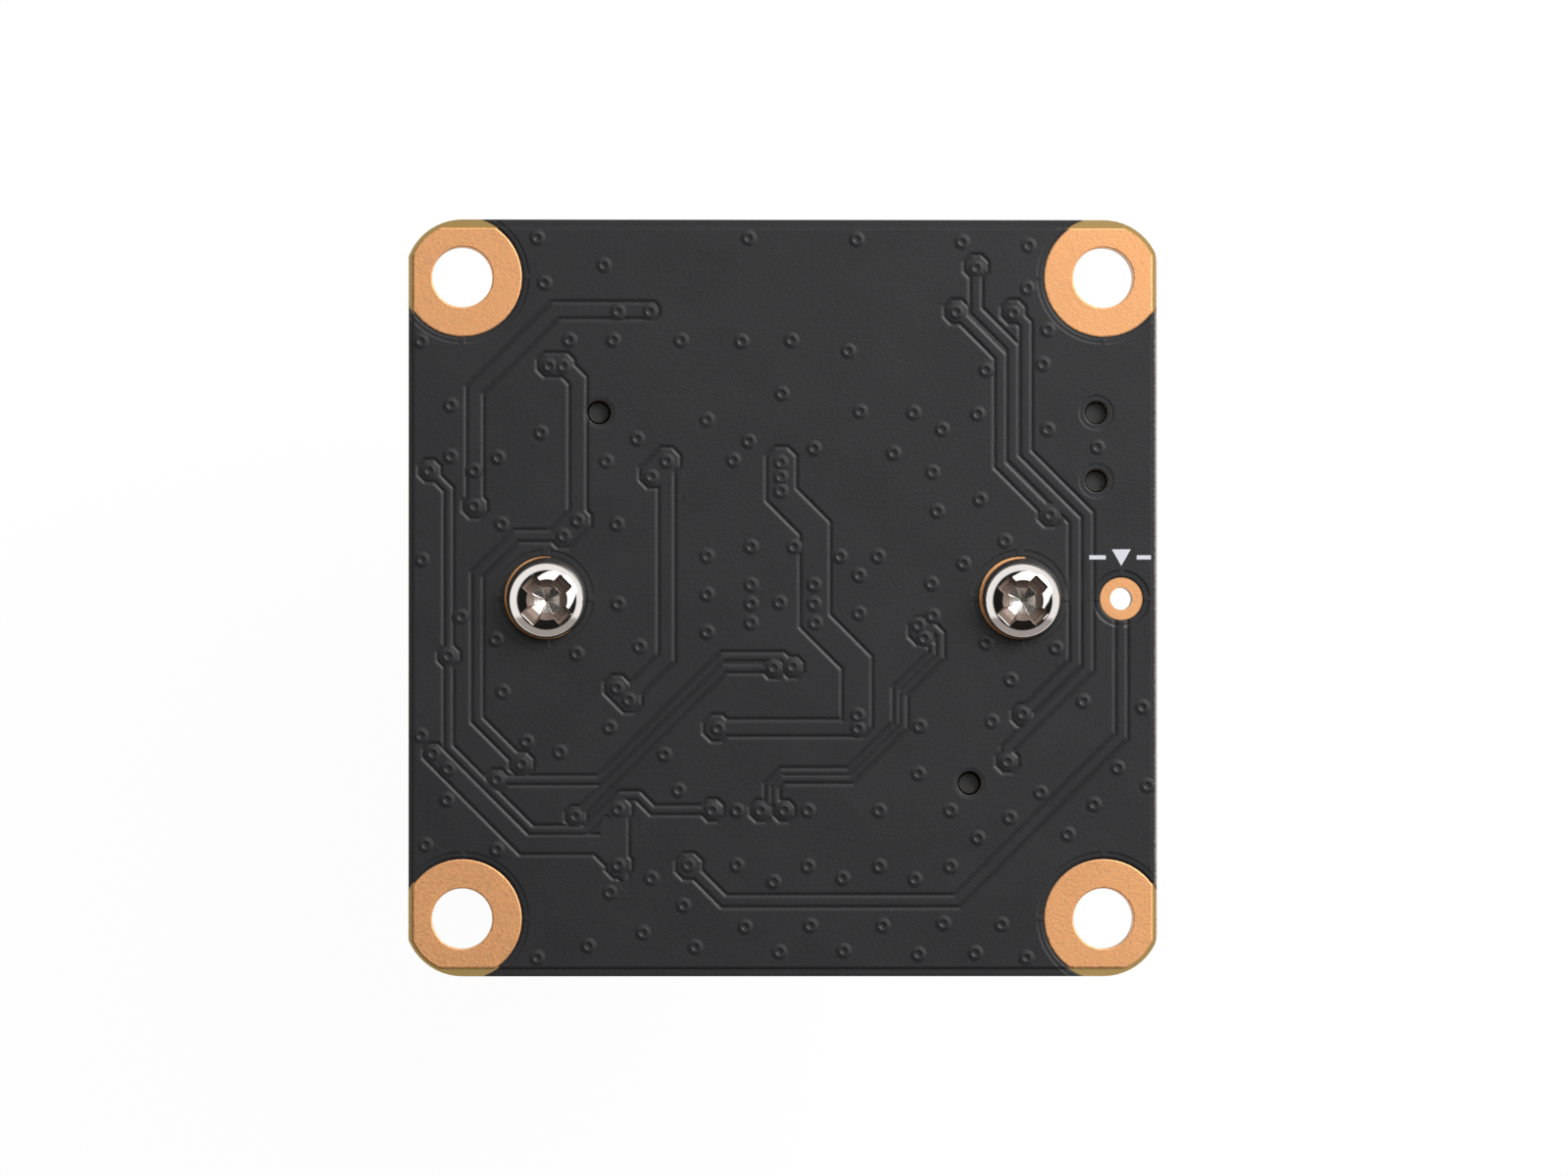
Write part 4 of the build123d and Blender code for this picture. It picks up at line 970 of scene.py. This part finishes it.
rings = screw_rings()
one_screw, screw_faces = closed_stack(rings, (0, 0, -1.0), (0, 0, flank[-1][1]))
in_recess = np.arange(len(rings) - 1)
bright_finish, stained_finish, worn_finish = 0, 1, 2
level_finish = np.full(len(in_recess), bright_finish)
level_finish[in_recess < len(recess_levels)] = stained_finish
level_finish[in_recess < pit_levels - 1] = worn_finish
one_finish = np.repeat([*level_finish, worn_finish, bright_finish], len(mouth))
print("one screw:", len(rings), "rings,", len(screw_faces), "faces")

# %% Place both screws
screw_places = ((-9.97, -0.1), (10.06, -0.12))
screw_top_mm = 1.2
screw_points = [one_screw + (x, y, screw_top_mm) for x, y in screw_places]
both_faces = screw_faces + [[index + len(one_screw) for index in face] for face in screw_faces]
screws = add_piece(
    "nickel_screws",
    np.concatenate(screw_points),
    both_faces,
    "board_and_holder",
    [nickel, stained_nickel, worn_nickel],
    np.tile(one_finish, 2),
)
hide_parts("holder_screws")
shade_smooth(screws.data, 30.0)
print("screws:", len(screws.data.polygons), "faces")

# %% [markdown]
# Two corrections to the film. At one pad in the lower left the CAD's track turns so sharply that
# the corner of its gap runs out into a long point, which the real board doesn't have: two thin flat
# patches fill what is too much there, flush with the film's top. And the film was printed a little
# out of place round the screws, so on the upper right it lies over the gold land, and only the
# left of each land shows as a crescent.

# %% Patches of film
def flat_prisms(outlines, low, high):
    """Each outline twice, at a low and a high level, with side walls between them.

    An outline whose area, half the sum of x y' - x' y, is below zero is turned round, so that the
    faces look outwards.
    """
    points = []
    faces = []
    start = 0
    for outline in outlines:
        corners = np.array(outline)
        ahead = np.roll(corners, -1, axis=0)
        if np.sum(corners[:, 0] * ahead[:, 1] - ahead[:, 0] * corners[:, 1]) < 0:
            corners = corners[::-1]
        step = start + np.arange(len(corners))
        walls = start + ring_quads(2, len(corners))[:, (0, 3, 2, 1)]
        points += [at_height(corners, low), at_height(corners, high)]
        faces += [step[::-1].tolist(), (step + len(corners)).tolist(), *walls.tolist()]
        start += 2 * len(corners)
    return np.concatenate(points), faces


patch_levels_mm = (0.04, 0.0705)
patch_outlines = [
    [(-6.38, -11.66), (-6.38, -12.58), (-7.03, -11.93), (-6.65, -11.93)],
    [(-7.7, -9.5), (-7.55, -9.2), (-7.36, -9.2), (-7.2, -9.45), (-7.2, -10.6), (-7.7, -10.1)],
]
patch_points, patch_faces = flat_prisms(patch_outlines, *patch_levels_mm)
add_piece("film_patches", patch_points, patch_faces, "board_and_holder", [thin_coat])
print("patches of film:", len(patch_outlines))


# %% Film over the edge of the screw lands
def crescent(centre, azimuths, outer, inner, steps=48):
    """Outline between two arcs about a centre that meet where sin of the way along is zero.

    The outer arc has one radius, and the inner one is outer - (outer - inner) * sqrt(sin(pi t)).
    """
    share = np.linspace(0, 1, steps)
    turn = np.radians(azimuths[0] + (azimuths[1] - azimuths[0]) * share)
    reach = outer - (outer - inner) * np.sqrt(np.sin(np.pi * share).clip(0))
    circle = np.column_stack([np.cos(turn), np.sin(turn)])
    inside = (circle * reach[:, None])[-2:0:-1]
    return np.concatenate([circle * outer, inside]) + centre


screw_land_radius_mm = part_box("screw_lands")[1].x / MM - screw_hole[0]
overlap_levels_mm = (0.03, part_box("screw_lands")[1].z / MM + 0.012)
overlap_azimuths = (84, -50)
overlap_radii_mm = (screw_land_radius_mm + 0.03, 1.45)
overlaps = [crescent((side * screw_hole[0], 0), overlap_azimuths, *overlap_radii_mm) for side in (-1, 1)]
overlap_points, overlap_faces = flat_prisms(overlaps, *overlap_levels_mm)
add_piece("film_over_lands", overlap_points, overlap_faces, "board_and_holder", [thin_coat])
print("screw land radius:", round(screw_land_radius_mm, 2), "mm")

# %% [markdown]
# A plain marker in white ink shows the pin at the small gold land: a triangle that points down at
# the hole, with a short bar on each side. It could be a colour in the film, but ink lies on film
# like a skin, a few hundredths of a millimetre high, and as a shape its edges stay sharp.

# %% White pin marker
marker_levels_mm = (0.068, 0.082)
marker_corner_mm = 0.05
marker_shapes = [
    [(13.85, 2.05), (14.65, 2.05), (14.25, 1.35)],
    [(12.9, 1.62), (13.6, 1.62), (13.6, 1.8), (12.9, 1.8)],
    [(14.9, 1.62), (15.5, 1.62), (15.5, 1.8), (14.9, 1.8)],
]
ink = make_plastic("white_ink", srgb(196, 198, 204), 0.6, 16.0, 0.006)
marker_points, marker_faces = flat_prisms(marker_shapes, *marker_levels_mm)
marker = add_piece("pin_marker", marker_points, marker_faces, "board_and_holder", [ink])
ease_marker = marker.modifiers.new("soft_corners", "BEVEL")
ease_marker.width = marker_corner_mm * MM
ease_marker.segments = 3
ease_marker.affect = "EDGES"
print("marker shapes:", len(marker_shapes))

# %% [markdown]
# Seen from the lens side, the front glass is what catches the eye, and its surface is a shallow
# dome. The CAD model draws it as a cone with a flat. The dome here is a slice of a sphere inside
# that shape, so it stands no further out, and the coloured reflections can slide over it.

# %% Front glass
glass_radius_mm = 4.85
glass_sag_mm = 0.9
glass_turns = 64
glass_edge_mm = 0.1
innermost_share = 0.08
glass_back_mm, glass_tip_mm = (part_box("front_element")[index].z / MM for index in (1, 0))


def glass_rings():
    """Rings of the dome: out over the flat back, down the edge, and in over the sphere's slice.

    A sphere of radius R that sags by s over a half width a has R = (a^2 + s^2) / (2 s).
    """
    ball = (glass_radius_mm**2 + glass_sag_mm**2) / (2 * glass_sag_mm)
    turn = np.linspace(0, 2 * np.pi, glass_turns, endpoint=False)
    rim = np.column_stack([np.cos(turn), np.sin(turn)]) * glass_radius_mm
    inwards = np.linspace(1, innermost_share, 14)
    depth = ball - np.sqrt(ball**2 - (glass_radius_mm * inwards) ** 2)
    back = [at_height(rim * share, glass_back_mm) for share in (0.5, 0.97)]
    edge = [at_height(rim, glass_back_mm - glass_edge_mm)]
    dome = [at_height(rim * share, glass_tip_mm + d) for share, d in zip(inwards, depth)]
    return np.array(back + edge + dome)


glass_points, glass_faces = closed_stack(glass_rings(), (0, 0, glass_back_mm), (0, 0, glass_tip_mm))
front_glass = add_piece(
    "front_glass", glass_points + optical_centre, glass_faces, "lens", [lens_glass]
)
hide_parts("front_element")
shade_smooth(front_glass.data, 40.0)
print("front glass from", round(glass_back_mm, 2), "to", round(glass_tip_mm, 2), "mm")

# %% [markdown]
# The head of the lens is turned with the fingers, so it has straight ridges all round. They stand
# out enough to show at the outline, so they are a shape: a thin sleeve over the head, whose radius
# goes up and down with the angle.

# %% Knurled sleeve over the lens head
head_radius_mm = 7.0
head_back_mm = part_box("lock_ring")[0].z / MM
head_front_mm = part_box("lens_barrel")[0].z / MM
ridges = 90
points_in_a_ridge = 6
valley_radius_mm = head_radius_mm + 0.005
ridge_height_mm = 0.09
sleeve_depth_mm = 0.1

# Levels of the sleeve's outside, from its back to its front: share of the ridges' height, and place
sleeve_levels = (
    (0.0, head_back_mm - 0.07),
    (1.0, head_back_mm - 0.2),
    (1.0, head_front_mm + 0.35),
    (0.0, head_front_mm + 0.2),
)


def sleeve_rings():
    """Rings of the sleeve: radius = valley + share * height * (1 + cos(ridges * t)) / 2."""
    turn = np.linspace(0, 2 * np.pi, ridges * points_in_a_ridge, endpoint=False)
    circle = np.column_stack([np.cos(turn), np.sin(turn)])
    wave = (ridge_height_mm * (1 + np.cos(ridges * turn)) / 2)[:, None]
    outer = [at_height(circle * (valley_radius_mm + wave * share), z) for share, z in sleeve_levels]
    inside = circle * (valley_radius_mm - sleeve_depth_mm)
    first, last = (at_height(inside, sleeve_levels[index][1]) for index in (0, -1))
    return np.array([first, *outer, last])


def closed_loop(rings):
    """The skin of a stack of rings whose last ring joins its first one."""
    count = rings.shape[1]
    faces = ring_quads(len(rings) + 1, count) % (len(rings) * count)
    return rings.reshape(-1, 3), faces.tolist()


grip_points, grip_faces = closed_loop(sleeve_rings())
grip = add_piece(
    "knurled_grip", grip_points + optical_centre, grip_faces, "lens", [turned_black]
)
shade_smooth(grip.data, 60.0)
print("grip:", len(grip.data.polygons), "faces")
